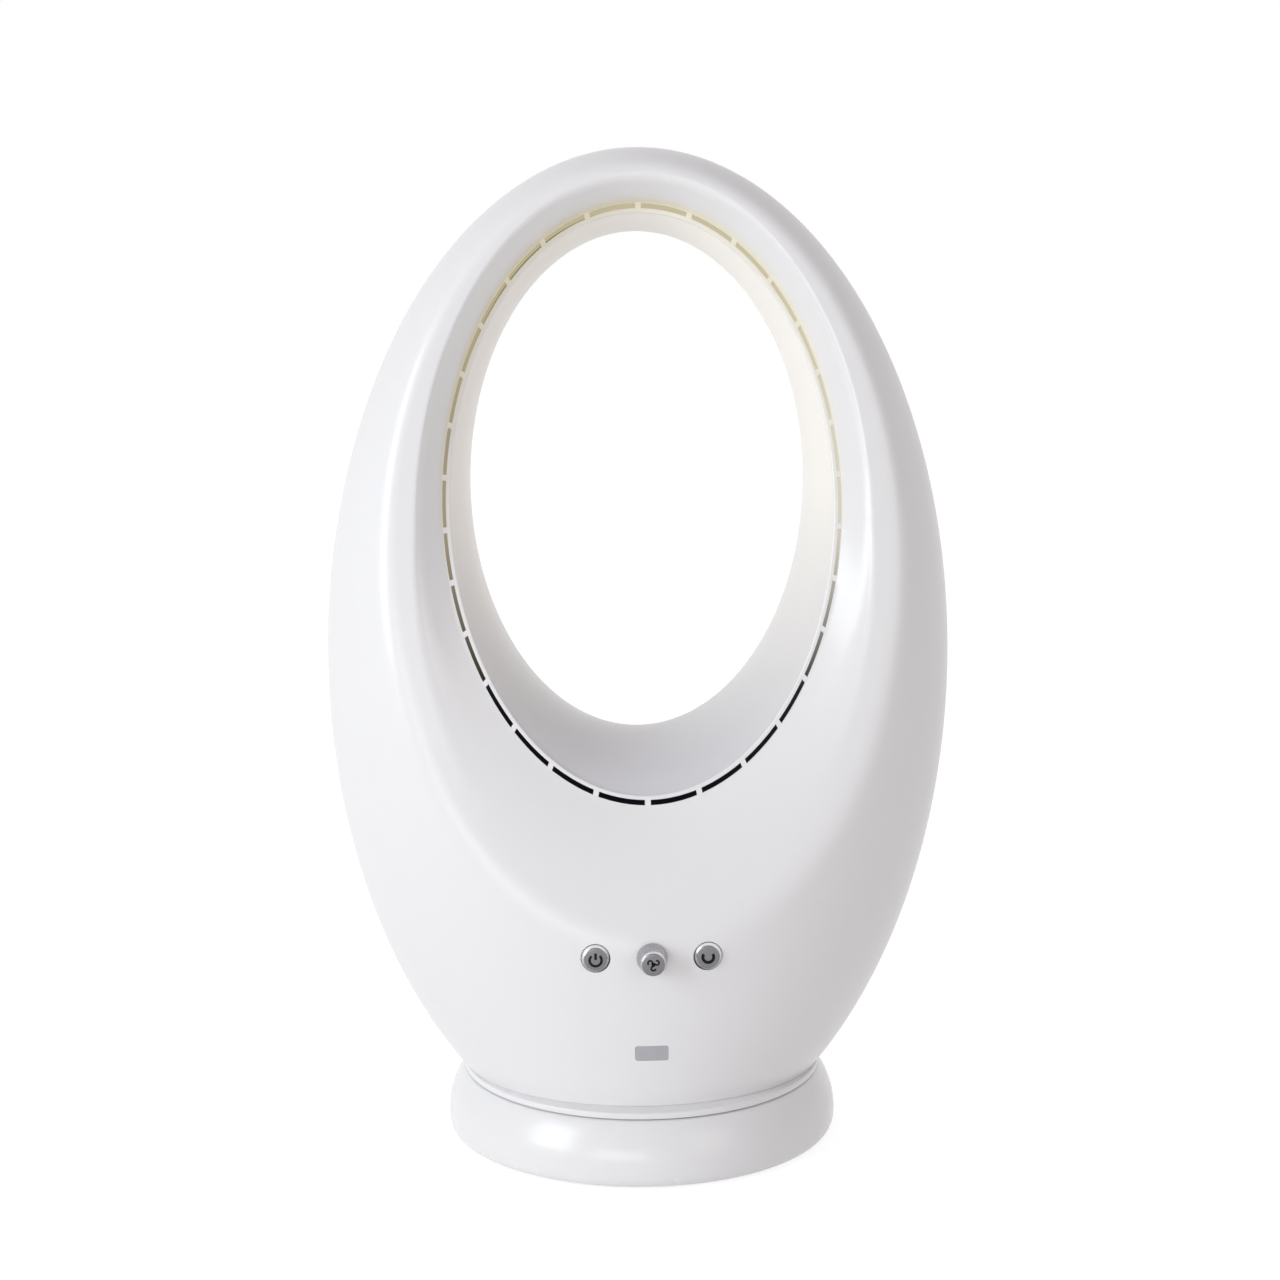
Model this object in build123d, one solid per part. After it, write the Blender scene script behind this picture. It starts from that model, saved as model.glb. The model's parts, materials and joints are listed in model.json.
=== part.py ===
from build123d import *
import os
from math import atan2, cos, hypot, pi, radians, sin, sqrt

os.makedirs("parts", exist_ok=True)

# Bladeless desk fan. Millimetres, +Z up, the table at z = 0.
# The origin is the middle of the foot on the table, on the oscillation axis.
# The front of the fan looks along -Y.

# ---------------------------------------------------------------- body outline
HALF_WIDTH = 170.0        # widest half width of the egg-shaped body
HALF_HEIGHT = 275.7       # half height of the body's ellipse
CENTRE_Z = 262.5          # height of the body's widest place
NECK_Z = 38.6             # lower edge of the body
FRONT_NECK = 89.0         # how far that edge reaches in front of the axis
REAR_NECK = 99.0          # and behind it
FRONT_TUCK = 4.0          # power with which the belly tucks in, going down
REAR_SWELL = 1.6          # power with which the back swells out
FRONT_DEPTH = 101.0       # depth of the belly in front of the axis
REAR_DEPTH = 76.0         # depth of the back behind the axis
WALL = 2.5                # wall of the moulded shells
POLE_ANGLE = 87.8         # how far up the ellipse the last section lies, degrees
LOWER_SECTIONS = 8
UPPER_SECTIONS = 13
HALF_POINTS = 24          # points round half a section

# The front is flattened by a leaning land that carries the ring of slots.
LAND_Z = 240.0            # above this height the land is straight
LAND_Y = 69.5             # how far the land lies in front of the axis there
LAND_SLOPE = 0.145
LAND_SWELL = 0.0011       # how it swells out to the belly below
BLEND = 6.0               # softness of the edge between the land and the sides
BLEND_FALL = 90.0         # height over which that softness doubles, going down

# ---------------------------------------------------------------- ring of slots
SLOT_A = 103.5            # half width of the ring of slots
SLOT_LOW = (-70.0, 199.0)     # y and z of its lowest point
SLOT_HIGH = (-8.0, 506.0)     # y and z of its highest point
SLOTS = 30
SLOT_WIDTH = 0.018        # width of a slot as a share of the ring
BRIDGE = 3.0              # bridge between two slots
FLANGE = 1.6              # thickness of the slotted flange
FLANGE_ROOT = 7.0         # how far it reaches out into the front's wall
FUNNEL_EDGE = 0.4         # flat between the slots and the funnel
BRIDGE_CUT = 17.0         # length of the cutters that leave the bridges
LINER_WALL = 2.0

MOUTH_A = 120.0           # half width of the crest round the funnel
MOUTH_LOW = 165.0
MOUTH_HIGH = 522.0
MOUTH_REACH = 1.16        # the funnel's cutter runs on past the crest
MOUTH_FRONT = -190.0

THROAT_A = 91.1
THROAT_LOW = (-10.0, 225.5)
THROAT_HIGH = (17.0, 495.0)
REAR_A = 99.0
REAR_LOW = (66.0, 207.5)
REAR_HIGH = (42.0, 507.0)
OUT_A = 105.0
OUT_LOW = (110.0, 192.0)
OUT_HIGH = (88.0, 516.0)
RING_POINTS = 36

# ---------------------------------------------------------------- clearances
SEAT = 0.3                # gap round a panel let into a shell
SLIDE = 0.1               # radial gap of a button in its guide
RUN = 0.05                # radial gap of a turning fit
TOUCH = 0.05              # gap behind a flange that lies against a wall

# ---------------------------------------------------------------- inside the body
FLOOR = 3.0               # flange at the body's lower edge
FLOOR_OPEN_R = 74.0
LEDGE_Z = 155.5           # ledge under the baffle
LEDGE = 2.5
LEDGE_IN = 4.5            # how far the ledge stands in from the wall
BAFFLE = 3.0
BAFFLE_Z = LEDGE_Z + LEDGE
BAFFLE_OPEN_R = 65.0

SHELL_SCREW_Z = (112.0, 262.0, 420.0)
SHELL_SCREW_IN = 20.0     # from the outline to the screw
RIB = 3.0
BOSS_R = 4.6
BOSS_FRONT = 14.0
SCREW_R = 1.5
HEAD_R = 2.8
HEAD = 2.0
BORE_PLAY = 0.2
TIP_ROOM = 1.0            # room beyond a screw's tip
BOSS_END = 2.0            # closed end of a front boss
SHELL_HEAD_Y = 6.0        # where a shell screw's head is seated

# cutters run past what they cut, and bosses into what carries them
PAST = 1.0
FAR = 300.0
FRONT_CUT = (-120.0, -80.0)   # cutters through the front wall
REAR_CUT = (20.0, 130.0)      # cutters through the rear wall
FOOT_CUT = (90.0, 120.0)      # cutters through the back of the foot

# rear intake grille
GRILLE_X = 62.0
GRILLE_LOW = 62.0
GRILLE_HIGH = 146.0
GRILLE_ROUND = 12.0
GRILLE_LIP = 4.0          # lip behind the rear shell
GRILLE_WALL = 4.0
LOUVRE_ROWS = 13
LOUVRE = 3.0
LOUVRE_PITCH = 6.0
LOUVRE_X = (2.5, 55.0)

# ---------------------------------------------------------------- controls
CONTROL_Z = 122.0
BUTTON_X = 29.1
BUTTON_R = 7.55
BUTTON_FRONT = -98.5
BUTTON_TRAVEL = 1.5
BUTTON_DISH = 0.6         # rounding of the cap's front edge
GUIDE_WALL = 1.7
GUIDE_BACK = -86.5
BUTTON_LIP_R = 9.0
BUTTON_LIP = 1.2
CAP_CORE_R = 5.5
CAP_CORE_FRONT = -95.1
STEM_R = 1.5

BOARD_Y = -82.5           # front face of the control board
BOARD = 1.6
BOARD_X = 42.0
BOARD_LOW = 58.0
BOARD_HIGH = 140.0
POST_R = 3.6
POST_X = 36.0
POST_Z = (64.0, 135.0)
PILOT_R = 1.2

SWITCH = 6.0
SWITCH_HIGH = 3.5
PLUNGER_R = 1.7
PLUNGER = 2.4

KNOB_BASE_R = 8.0
KNOB_FACE_R = 6.4
KNOB_BACK = -99.2
KNOB_SEAT = -98.9         # flat collar on the shell behind the knob
KNOB_SEAT_R = 7.0
KNOB_FACE = -110.4
KNOB_EDGE = 0.8
KNOB_HUB_R = 4.4
KNOB_HOLE_R = 4.6
KNOB_SHELL = 2.2
POT = 11.0
POT_DEEP = 6.5
POT_BUSH_R = 3.9
POT_BUSH_END = -93.8
POT_SHAFT_R = 3.0
POT_FLOOR = 2.0           # closed end of the potentiometer's bore
KNOB_RECESS = 3.5         # hollow at the knob's back
KNOB_CAP = 2.4            # face of the knob over the shaft's end
KNOB_AHEAD = 0.6          # gap from the knob's hub to the bush
BOARD_SCREW = 6.0
STOP_PAD_R = 8.6
STOP_PAD_WALL = 2.0
RECEIVER_X = 3.0
RECEIVER_Z = 3.5
RECEIVER = 4.0
RECEIVER_LENS_R = 2.2
RECEIVER_LENS = 1.5

WINDOW_X = 8.5
WINDOW_Z = 4.0
WINDOW_ROUND = 1.3
WINDOW_CENTRE_Z = 69.5
WINDOW_LIP = 2.0
WINDOW_WALL = 3.8

# ---------------------------------------------------------------- fan module
SHAFT_R = 3.0
IMPELLER_LOW = 79.0
IMPELLER_HIGH = 117.0
HUB_LOW_R = 13.0
HUB_HIGH_R = 40.0
TIP_LOW_R = 48.5
TIP_HIGH_R = 61.0
BLADES = 11
BLADE = 1.8
BLADE_SWEEP = 58.0        # degrees swept from hub to tip
BLADE_CURL = 1.2          # power with which the sweep grows
BLADE_STEPS = 8
BLADE_ROOT = 1.0          # how deep a blade is rooted in the hub
HUB_BELLY = ((20.0, 12.0), (29.0, 25.0))   # radius, height above the impeller's foot
HUB_WALL = 2.5
HUB_DISH = 2.0            # how far the foot rises towards the shaft
SLEEVE_R = 9.0
SLEEVE_DROP = 6.0         # from the impeller's top down to the sleeve's
TIP_GAP = 1.0
SHROUD_WALL = 2.5
INLET_Z = 70.0
INLET_R = 60.0
INLET_LIP = ((6.0, 1.5), (4.0, 4.0))       # curl of the lip inside and outside: in, up
SHROUD_CONE = 4.0         # height of the cone under the air guide's step
GUIDE_STEP_Z = 128.0
GUIDE_R = 68.0
GUIDE_RING = 3.0
SHROUD_FLANGE_R = 75.0
SHROUD_FLANGE = 4.0
SHROUD_SCREW_R = 73.5
SHROUD_SCREW = 7.0
CUP_LOW = 119.0
CUP_HOLE_R = 12.0
CUP_SHOULDER = 9.0
CUP_R = 45.0
CUP_WALL = 2.5
CUP_FLOOR = 2.5
CUP_HIGH = 150.0
VANES = 9
VANE = 2.0
VANE_TILT = 25.0
VANE_ROOT = 1.4           # how deep a vane is rooted at its ends
CAP_HIGH = 163.0
CAP_DOME = ((0.0, 0.0), (16.0, 1.0), (30.0, 4.0), (40.0, 8.5))   # radius, drop
CAP_WALL = 2.5
CAP_SLIM = 0.95           # the dome's inside as a share of its outside, in radius
CAP_PLUG = 4.0            # how far the cap reaches into the cup

MOTOR_R = 32.0
MOTOR_LOW = 122.5
MOTOR_HIGH = 148.5
MOTOR_WALL = 1.6
BEARING_R = 8.0
BEARING = 5.0
BEARING_SEAT = 1.5        # wall of the bearings' seats
CAN_HOLE = 1.0            # gap from the can's ends to the shaft
STACK_GAP = 1.0           # from a bearing to the stator
STATOR_R = 15.0
STATOR_SLOT = (17.0, 25.0, 5.2)   # inner and outer radius, width
STATOR_MOUTH = 1.6
MAGNET_R = 14.3
MAGNET_SHORT = 0.5        # how much shorter the magnet is at each end
STATOR_SLOTS = 9
ISOLATOR = 6.0
ISOLATOR_INSET = 3.0
SHAFT_LOW = 84.0

# ---------------------------------------------------------------- turntable
TURN_R = 99.4
TURN_FLOOR = 3.4          # thickness of the disc
TURN_EDGE = 0.8           # rounding of its outer edges
HUB_R = 15.0
HUB_BORE_R = 10.0
HUB_LONG = 18.5           # how far the hub reaches below the foot's deck
TURN_SCREW_R = 80.5
TURN_SCREWS = 6
TURN_BOSS = 7.0
GEAR_MODULE = 1.25
GEAR_TEETH = 72
PINION_TEETH = 12
GEAR_HIGH = 3.4
GEAR_RIM_R = 52.5
BACKLASH = 0.18
PRESSURE = radians(20.0)
GEAR_SCREWS = 4
GEAR_SCREW_R = 49.8
GEAR_SCREW_SHANK = 1.1
GEAR_SCREW_ROOF = 0.7     # left of the disc over a gear screw's pilot
GEAR_SCREW_GAP = 0.3
GEAR_HEAD_R = 2.0
GEAR_HEAD_SINK = 0.2
GEAR_SINK = 1.4           # depth of the heads' seats
ADDENDUM = 0.9            # in modules
DEDENDUM = 1.25
PINION_INSET = 0.2
PINION_SHORT = 0.3
PINION_COLLAR_R = 4.6
PINION_Y = GEAR_MODULE * (GEAR_TEETH - PINION_TEETH) / 2
PEG_X = 36.0              # pegs that carry the main board
PEG_Y = (-60.0, -38.0)
PEG_R = 3.0
PEG = 5.0
LEG = 0.2                 # how deep a component sits in its board
MAIN_BOARD_X = 42.0
MAIN_BOARD_Y = (-66.0, -32.0)
CAPACITORS = ((-22, -50, 6, 14), (-8, -44, 4, 11))          # x, y, radius, height
CHIPS = ((2, 12, -60, -44, 9), (18, 30, -58, -48, 3))       # x range, y range, height

# ---------------------------------------------------------------- foot
FOOT_TOP = 34.5           # top of the rim round the deck
FOOT_RIM_R = 86.0         # inner radius of that rim
DECK_TOP = 30.9           # top of the sunk deck
FOOT_DECK = 3.0
FOOT_WALL = 2.6
FOOT_LOW = 1.2
FOOT_PROFILE = ((105.3, 1.2), (107.3, 2.6), (108.3, 5.6), (108.4, 10.0), (107.4, 18.0),
                (104.8, 25.5), (101.6, 31.2), (99.2, 34.5))
BUSH_LOW = DECK_TOP - 14.5
BUSH_WALL = 3.4
CLIP = 1.5
CLIP_R = 18.0
CLIP_GROOVE = 1.3
CLIP_MOUTH = 9.0          # half width of the clip's mouth
AXIAL = 0.1
PAD_R = 5.0
PADS = 6
PAD_RING_R = 70.0
PAD_PEG_R = 2.5
PAD_PEG = 4.0
PLATE = 2.5
PLATE_R = 102.1
BASE_SCREWS = 6
BASE_BOSS_RING_R = 96.0
BASE_BOSS_R = 4.4
BASE_SCREW = 13.0
BASE_HEAD = 1.2
WEIGHT_R = (58.0, 89.0)
WEIGHT = 7.0
WEIGHT_GAP_X = 14.0       # notch in the weight behind the cord's inlet
FEET = 5
FEET_R = 7.0
FEET_HIGH = 2.4
FEET_RING_R = 86.0
FEET_RECESS = 1.2

OSC_MOTOR_R = 17.0
OSC_MOTOR_LOW = 7.4
OSC_MOTOR_HIGH = DECK_TOP - 5.5
OSC_EAR_X = 21.0
OSC_EAR_R = 4.0
OSC_EAR = 1.5
OSC_SHAFT_R = 2.5
DRIVE_LOW = OSC_MOTOR_HIGH - 5.0
PINION_HOLE_R = 9.4

GLAND_Z = 13.0
GLAND_R = 6.0
GLAND_BORE_R = 3.6
GLAND_BACK = 110.4
GLAND_NECK_R = 4.9
GLAND_LONG = 10.4
FLAT_Y = 105.6
FLAT_X = 9.0
FLAT_Z = 8.0
FLAT_RIM = 2.0


# ================================================================ helpers
def rod(r, low, high, x=0.0, y=0.0):
    """A cylinder along Z from low to high."""
    return Pos(x, y, (low + high) / 2) * Cylinder(r, high - low)


def tube(outer, inner, low, high, x=0.0, y=0.0):
    return rod(outer, low, high, x, y) - rod(inner, low - 1, high + 1, x, y)


def pin(r, front, back, x=0.0, z=0.0):
    """A cylinder along Y from front to back."""
    return Pos(x, (front + back) / 2, z) * Rot(90, 0, 0) * Cylinder(r, back - front)


def block(x0, x1, y0, y1, z0, z1):
    return Pos((x0 + x1) / 2, (y0 + y1) / 2, (z0 + z1) / 2) * Box(x1 - x0, y1 - y0, z1 - z0)


def panel(half_x, low, high, corner, front, back):
    """A rounded rectangle seen from the front, running along Y."""
    face = Plane((0, back, (low + high) / 2), x_dir=(1, 0, 0), z_dir=(0, -1, 0)) * \
        RectangleRounded(2 * half_x, high - low, corner)
    return extrude(face, back - front)


def turned(points):
    """A solid turned about Z from its half profile of (radius, height) points."""
    return revolve(Plane.XZ * make_face(Polyline(*points, close=True)), Axis.Z)


def around(count, radius, start=0.0):
    for i in range(count):
        angle = start + 2 * pi * i / count
        yield radius * cos(angle), radius * sin(angle)


def closed(points):
    """A smooth closed curve; every curve of a loft gets the same parameters."""
    steps = [i / len(points) for i in range(len(points) + 1)]
    return Wire(Edge.make_spline([Vector(*p) for p in points], periodic=True, parameters=steps))


def save(name, shape):
    shape = shape if isinstance(shape, (Solid, Compound)) else Compound(list(shape.solids()))
    solids = shape.solids()
    shape = solids[0] if len(solids) == 1 else Compound(list(solids))
    export_step(shape, f"parts/{name}.step")
    print(name, len(solids), round(shape.volume), all(s.is_valid for s in solids))


# ================================================================ the egg's surface
def ratio(z, inset):
    return sqrt(max(0.0, 1 - ((z - CENTRE_Z) / (HALF_HEIGHT - inset)) ** 2))


def half_width(z, inset):
    return (HALF_WIDTH - inset) * ratio(z, inset)


def fall(z):
    """0 at the widest height, 1 at the neck."""
    return max(0.0, (CENTRE_Z - z) / (CENTRE_Z - NECK_Z))


def depth(z, inset, middle, neck, power):
    """How deep the egg is in its middle plane, from the middle depth down to the neck's."""
    if z > CENTRE_Z:
        return (middle - inset) * ratio(z, inset)
    return middle - inset + (neck - middle) * fall(z) ** power


def front_depth(z, inset):
    return depth(z, inset, FRONT_DEPTH, FRONT_NECK, FRONT_TUCK)


def rear_depth(z, inset):
    return depth(z, inset, REAR_DEPTH, REAR_NECK, REAR_SWELL)


def land(z, inset):
    below = max(0.0, LAND_Z - z)
    return LAND_Y + LAND_SLOPE * (LAND_Z - z) + LAND_SWELL * below ** 2 - inset


def front(x, z, inset):
    """The y of the front: the egg, smoothly cut back to the land."""
    egg = -front_depth(z, inset) * sqrt(max(0.0, 1 - (x / half_width(z, inset)) ** 2))
    flat = -land(z, inset)
    soft = BLEND * (1 + min(1.0, max(0.0, (LAND_Z + 10 - z) / BLEND_FALL)))
    near = max(soft - abs(egg - flat), 0.0) / soft
    return max(egg, flat) + near * near * soft / 4


def section(z, inset):
    points = []
    for i in range(2 * HALF_POINTS):
        angle = pi * i / HALF_POINTS
        x = half_width(z, inset) * sin(angle)
        if cos(angle) >= 0:
            y = rear_depth(z, inset) * cos(angle)
        else:
            y = front(x, z, inset)
        points.append((x, y, z))
    return closed(points)


def egg(inset, low):
    """The body's solid, set in by the inset, from the height low to the top."""
    heights = [low + (CENTRE_Z - low) * i / LOWER_SECTIONS for i in range(LOWER_SECTIONS)]
    heights += [CENTRE_Z + (HALF_HEIGHT - inset) * sin(radians(POLE_ANGLE) * i / UPPER_SECTIONS)
                for i in range(UPPER_SECTIONS + 1)]
    return Solid.make_loft([section(z, inset) for z in heights])


# ================================================================ the duct's surface
def oval(half, low, high, grow=0.0, back=0.0):
    """Points of a leaning ellipse between its lowest and highest (y, z)."""
    rise = hypot(high[0] - low[0], high[1] - low[1])
    up = ((high[0] - low[0]) / rise, (high[1] - low[1]) / rise)
    y = (low[0] + high[0]) / 2 + back * up[1]
    z = (low[1] + high[1]) / 2 - back * up[0]
    points = []
    for i in range(RING_POINTS):
        angle = 2 * pi * i / RING_POINTS
        reach = (rise / 2 + grow) * sin(angle)
        points.append(((half + grow) * cos(angle), y + reach * up[0], z + reach * up[1]))
    return points


SLOT_RISE = hypot(SLOT_HIGH[0] - SLOT_LOW[0], SLOT_HIGH[1] - SLOT_LOW[1])
SLOT_B = SLOT_RISE / 2
LEAN = ((SLOT_HIGH[0] - SLOT_LOW[0]) / SLOT_RISE, (SLOT_HIGH[1] - SLOT_LOW[1]) / SLOT_RISE)
SLOT_PLANE = Plane((0, (SLOT_LOW[0] + SLOT_HIGH[0]) / 2, (SLOT_LOW[1] + SLOT_HIGH[1]) / 2),
                   x_dir=(1, 0, 0), z_dir=(0, -LEAN[1], LEAN[0]))


def funnel(grow):
    """The funnel in front of the slots, from their plane out past the crest."""
    inner = oval(SLOT_A, SLOT_LOW, SLOT_HIGH, SLOT_B * SLOT_WIDTH + FUNNEL_EDGE + grow)
    rim, ahead = [], []
    middle, reach = (MOUTH_LOW + MOUTH_HIGH) / 2, (MOUTH_HIGH - MOUTH_LOW) / 2
    for i, (x0, y0, z0) in enumerate(inner):
        angle = 2 * pi * i / RING_POINTS
        x1 = (MOUTH_A + grow) * cos(angle)
        z1 = middle + (reach + grow) * sin(angle)
        y1 = front(MOUTH_A * cos(angle), middle + reach * sin(angle), 0.0)
        x2 = x0 + (x1 - x0) * MOUTH_REACH
        y2 = y0 + (y1 - y0) * MOUTH_REACH
        z2 = z0 + (z1 - z0) * MOUTH_REACH
        rim.append((x2, y2, z2))
        ahead.append((x2, MOUTH_FRONT, z2))
    return Solid.make_loft([closed(inner), closed(rim), closed(ahead)], ruled=True)


def duct(grow):
    """The air passage behind the slotted flange, out through the back."""
    inset = -LINER_WALL - SEAT
    return Solid.make_loft([
        closed(oval(SLOT_A, SLOT_LOW, SLOT_HIGH, inset + grow, FLANGE)),
        closed(oval(THROAT_A, THROAT_LOW, THROAT_HIGH, grow)),
        closed(oval(REAR_A, REAR_LOW, REAR_HIGH, grow)),
        closed(oval(OUT_A, OUT_LOW, OUT_HIGH, grow)),
    ])


def ring_angles(count):
    """Angles at equal distances round the slot ellipse, the first at its foot."""
    steps = 3600
    length, run = [0.0], 0.0
    for i in range(steps):
        a0, a1 = 2 * pi * i / steps, 2 * pi * (i + 1) / steps
        run += hypot(SLOT_A * (sin(a1) - sin(a0)), SLOT_B * (cos(a1) - cos(a0)))
        length.append(run)
    angles, i = [], 0
    for k in range(count):
        while length[i] < run * k / count:
            i += 1
        angles.append(2 * pi * i / steps)
    return angles


def slot_band():
    """The slots as solids, ready to be cut through the flange."""
    ring = Ellipse(SLOT_A * (1 + SLOT_WIDTH), SLOT_B * (1 + SLOT_WIDTH)) - Ellipse(SLOT_A, SLOT_B)
    for angle in ring_angles(SLOTS):
        x, y = SLOT_A * sin(angle), -SLOT_B * cos(angle)
        turn = atan2(-x / SLOT_A ** 2, y / SLOT_B ** 2)
        ring -= Pos(x, y) * Rot(0, 0, turn * 180 / pi) * Rectangle(BRIDGE, BRIDGE_CUT)
    return extrude(SLOT_PLANE * ring, 2 * FLANGE, both=True)


# ================================================================ gears
def involute(base, r):
    """The angle of an involute at the radius r."""
    t = sqrt(max(0.0, (r / base) ** 2 - 1))
    return t - atan2(t, 1)


def gear_face(teeth, outer, inner, thin):
    """A gear outline in the XY plane with a tooth on the +X axis."""
    pitch = GEAR_MODULE * teeth / 2
    base = pitch * cos(PRESSURE)
    half = pi / (2 * teeth) - thin / (2 * pitch) + involute(base, pitch)
    low = max(inner, base)
    flank = [low + (outer - low) * k / 4 for k in range(5)]
    points = []
    for i in range(teeth):
        middle = 2 * pi * i / teeth
        side = [(r, half - involute(base, r)) for r in flank]
        if inner < base:
            side = [(inner, half)] + side
        for r, a in side:
            points.append((r * cos(middle - a), r * sin(middle - a)))
        for r, a in reversed(side):
            points.append((r * cos(middle + a), r * sin(middle + a)))
    return make_face(Polyline(*points, close=True))


# ================================================================ front and rear shells
outside = egg(0.0, NECK_Z)
hollow = egg(WALL, NECK_Z + FLOOR)
behind_wall = egg(WALL + TOUCH, NECK_Z + FLOOR)
grille_inside = egg(GRILLE_WALL, NECK_Z + FLOOR)

half_front = block(-FAR, FAR, -FAR, 0, 0, 2 * FAR)
half_rear = block(-FAR, FAR, 0, FAR, 0, 2 * FAR)
floor_hole = rod(FLOOR_OPEN_R, NECK_Z - PAST, NECK_Z + FLOOR + PAST)

ledge = (block(-FAR, FAR, -FAR, FAR, LEDGE_Z, BAFFLE_Z)
         - egg(WALL + LEDGE_IN, NECK_Z + FLOOR))

flange = extrude(SLOT_PLANE * (Ellipse(SLOT_A + FLANGE_ROOT, SLOT_B + FLANGE_ROOT)
                               - Ellipse(SLOT_A - LINER_WALL - SEAT, SLOT_B - LINER_WALL - SEAT)),
                 -FLANGE)

screw_spots = [(side * (half_width(z, 0) - SHELL_SCREW_IN), z)
               for z in SHELL_SCREW_Z for side in (-1, 1)]
floor_spots = list(around(TURN_SCREWS, TURN_SCREW_R, pi / 6))
turn_screw_top = NECK_Z + FLOOR + TURN_BOSS - 2 * TIP_ROOM
floor_bosses = [rod(BOSS_R, NECK_Z, NECK_Z + FLOOR + TURN_BOSS, x, y) for x, y in floor_spots]
board_spots = [(x, z) for x in (-POST_X, POST_X) for z in POST_Z]
button_spots = (-BUTTON_X, BUTTON_X)
posts = [pin(POST_R, FRONT_CUT[0], BOARD_Y, x, z) for x, z in board_spots]
guides = [pin(BUTTON_R + SLIDE + GUIDE_WALL, FRONT_CUT[0], GUIDE_BACK, x, CONTROL_Z)
          for x in button_spots]

core = hollow - funnel(WALL) - flange - ledge
for piece in posts + guides + floor_bosses:
    core -= piece
front_core = core
rear_core = core
for x, z in screw_spots:
    x0, x1 = sorted((x, x * (1 + SHELL_SCREW_IN / abs(x))))
    front_core -= pin(BOSS_R, -BOSS_FRONT, PAST, x, z)
    front_core -= block(x0, x1, -BOSS_FRONT, PAST, z - RIB / 2, z + RIB / 2)
    rear_core -= pin(BOSS_R, -PAST, FAR, x, z)

front_shell = (outside & half_front) - funnel(0.0) - front_core - floor_hole - slot_band()
front_shell += pin(KNOB_SEAT_R, KNOB_SEAT, KNOB_SEAT + WALL + PAST, 0, CONTROL_Z)
for x, z in screw_spots:
    front_shell -= pin(SCREW_R, -BOSS_FRONT + BOSS_END, PAST, x, z)
for x, z in board_spots:
    front_shell -= pin(PILOT_R, BOARD_Y - BOARD_SCREW - TIP_ROOM, BOARD_Y + PAST, x, z)
for x in button_spots:
    front_shell -= pin(BUTTON_R + SLIDE, *FRONT_CUT, x, CONTROL_Z)
front_shell -= pin(KNOB_HOLE_R, *FRONT_CUT, 0, CONTROL_Z)
front_shell -= panel(WINDOW_X + SEAT / 2, WINDOW_CENTRE_Z - WINDOW_Z - SEAT / 2,
                     WINDOW_CENTRE_Z + WINDOW_Z + SEAT / 2, WINDOW_ROUND, *FRONT_CUT)

rear_shell = (outside & half_rear) - duct(LINER_WALL + SEAT) - rear_core - floor_hole
for x, z in screw_spots:
    rear_shell -= pin(SCREW_R + BORE_PLAY, -PAST, SHELL_HEAD_Y + PAST, x, z)
    rear_shell -= pin(HEAD_R + BORE_PLAY, SHELL_HEAD_Y, FAR, x, z)
rear_shell -= panel(GRILLE_X + SEAT, GRILLE_LOW - SEAT, GRILLE_HIGH + SEAT, GRILLE_ROUND,
                    *REAR_CUT)

for x, y in floor_spots:
    cut = rod(SCREW_R, NECK_Z - PAST, turn_screw_top + TIP_ROOM / 2, x, y)
    front_shell -= cut
    rear_shell -= cut

save("front_shell", front_shell)
save("rear_shell", rear_shell)

# ================================================================ duct liner and panels
liner = (duct(LINER_WALL) - duct(0.0)) & outside
save("duct_liner", liner)

grille = (outside & panel(GRILLE_X, GRILLE_LOW, GRILLE_HIGH, GRILLE_ROUND, *REAR_CUT)) + \
    (behind_wall & panel(GRILLE_X + GRILLE_LIP, GRILLE_LOW - GRILLE_LIP, GRILLE_HIGH + GRILLE_LIP,
                         GRILLE_ROUND, *REAR_CUT)) - grille_inside
louvre_low = (GRILLE_LOW + GRILLE_HIGH) / 2 - LOUVRE_PITCH * (LOUVRE_ROWS - 1) / 2
for row in range(LOUVRE_ROWS):
    z = louvre_low + row * LOUVRE_PITCH
    for side in (-1, 1):
        x0, x1 = sorted((side * LOUVRE_X[0], side * LOUVRE_X[1]))
        grille -= block(x0, x1, *REAR_CUT, z - LOUVRE / 2, z + LOUVRE / 2)
save("intake_grille", grille)

window = (outside & panel(WINDOW_X, WINDOW_CENTRE_Z - WINDOW_Z, WINDOW_CENTRE_Z + WINDOW_Z,
                          WINDOW_ROUND, *FRONT_CUT)) + \
    (behind_wall & panel(WINDOW_X + WINDOW_LIP, WINDOW_CENTRE_Z - WINDOW_Z - WINDOW_LIP,
                         WINDOW_CENTRE_Z + WINDOW_Z + WINDOW_LIP, WINDOW_ROUND, *FRONT_CUT)) \
    - egg(WINDOW_WALL, NECK_Z + FLOOR)
save("ir_window", window)

# ================================================================ baffle and fan module
shell_room = egg(WALL + SEAT, NECK_Z + FLOOR)
baffle = shell_room & (block(-FAR, FAR, -FAR, FAR, BAFFLE_Z, BAFFLE_Z + BAFFLE)
                       - rod(BAFFLE_OPEN_R, BAFFLE_Z - PAST, BAFFLE_Z + BAFFLE + PAST))
for x, z in screw_spots:
    if z < BAFFLE_Z + BAFFLE + BOSS_R and z + BOSS_R > BAFFLE_Z:
        baffle -= pin(BOSS_R + SEAT, -FAR, FAR, x, z)
shroud_spots = list(around(4, SHROUD_SCREW_R, pi / 4))
for x, y in shroud_spots:
    baffle -= rod(SCREW_R + BORE_PLAY, BAFFLE_Z - PAST, BAFFLE_Z + BAFFLE + PAST, x, y)
save("air_baffle", baffle)

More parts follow.
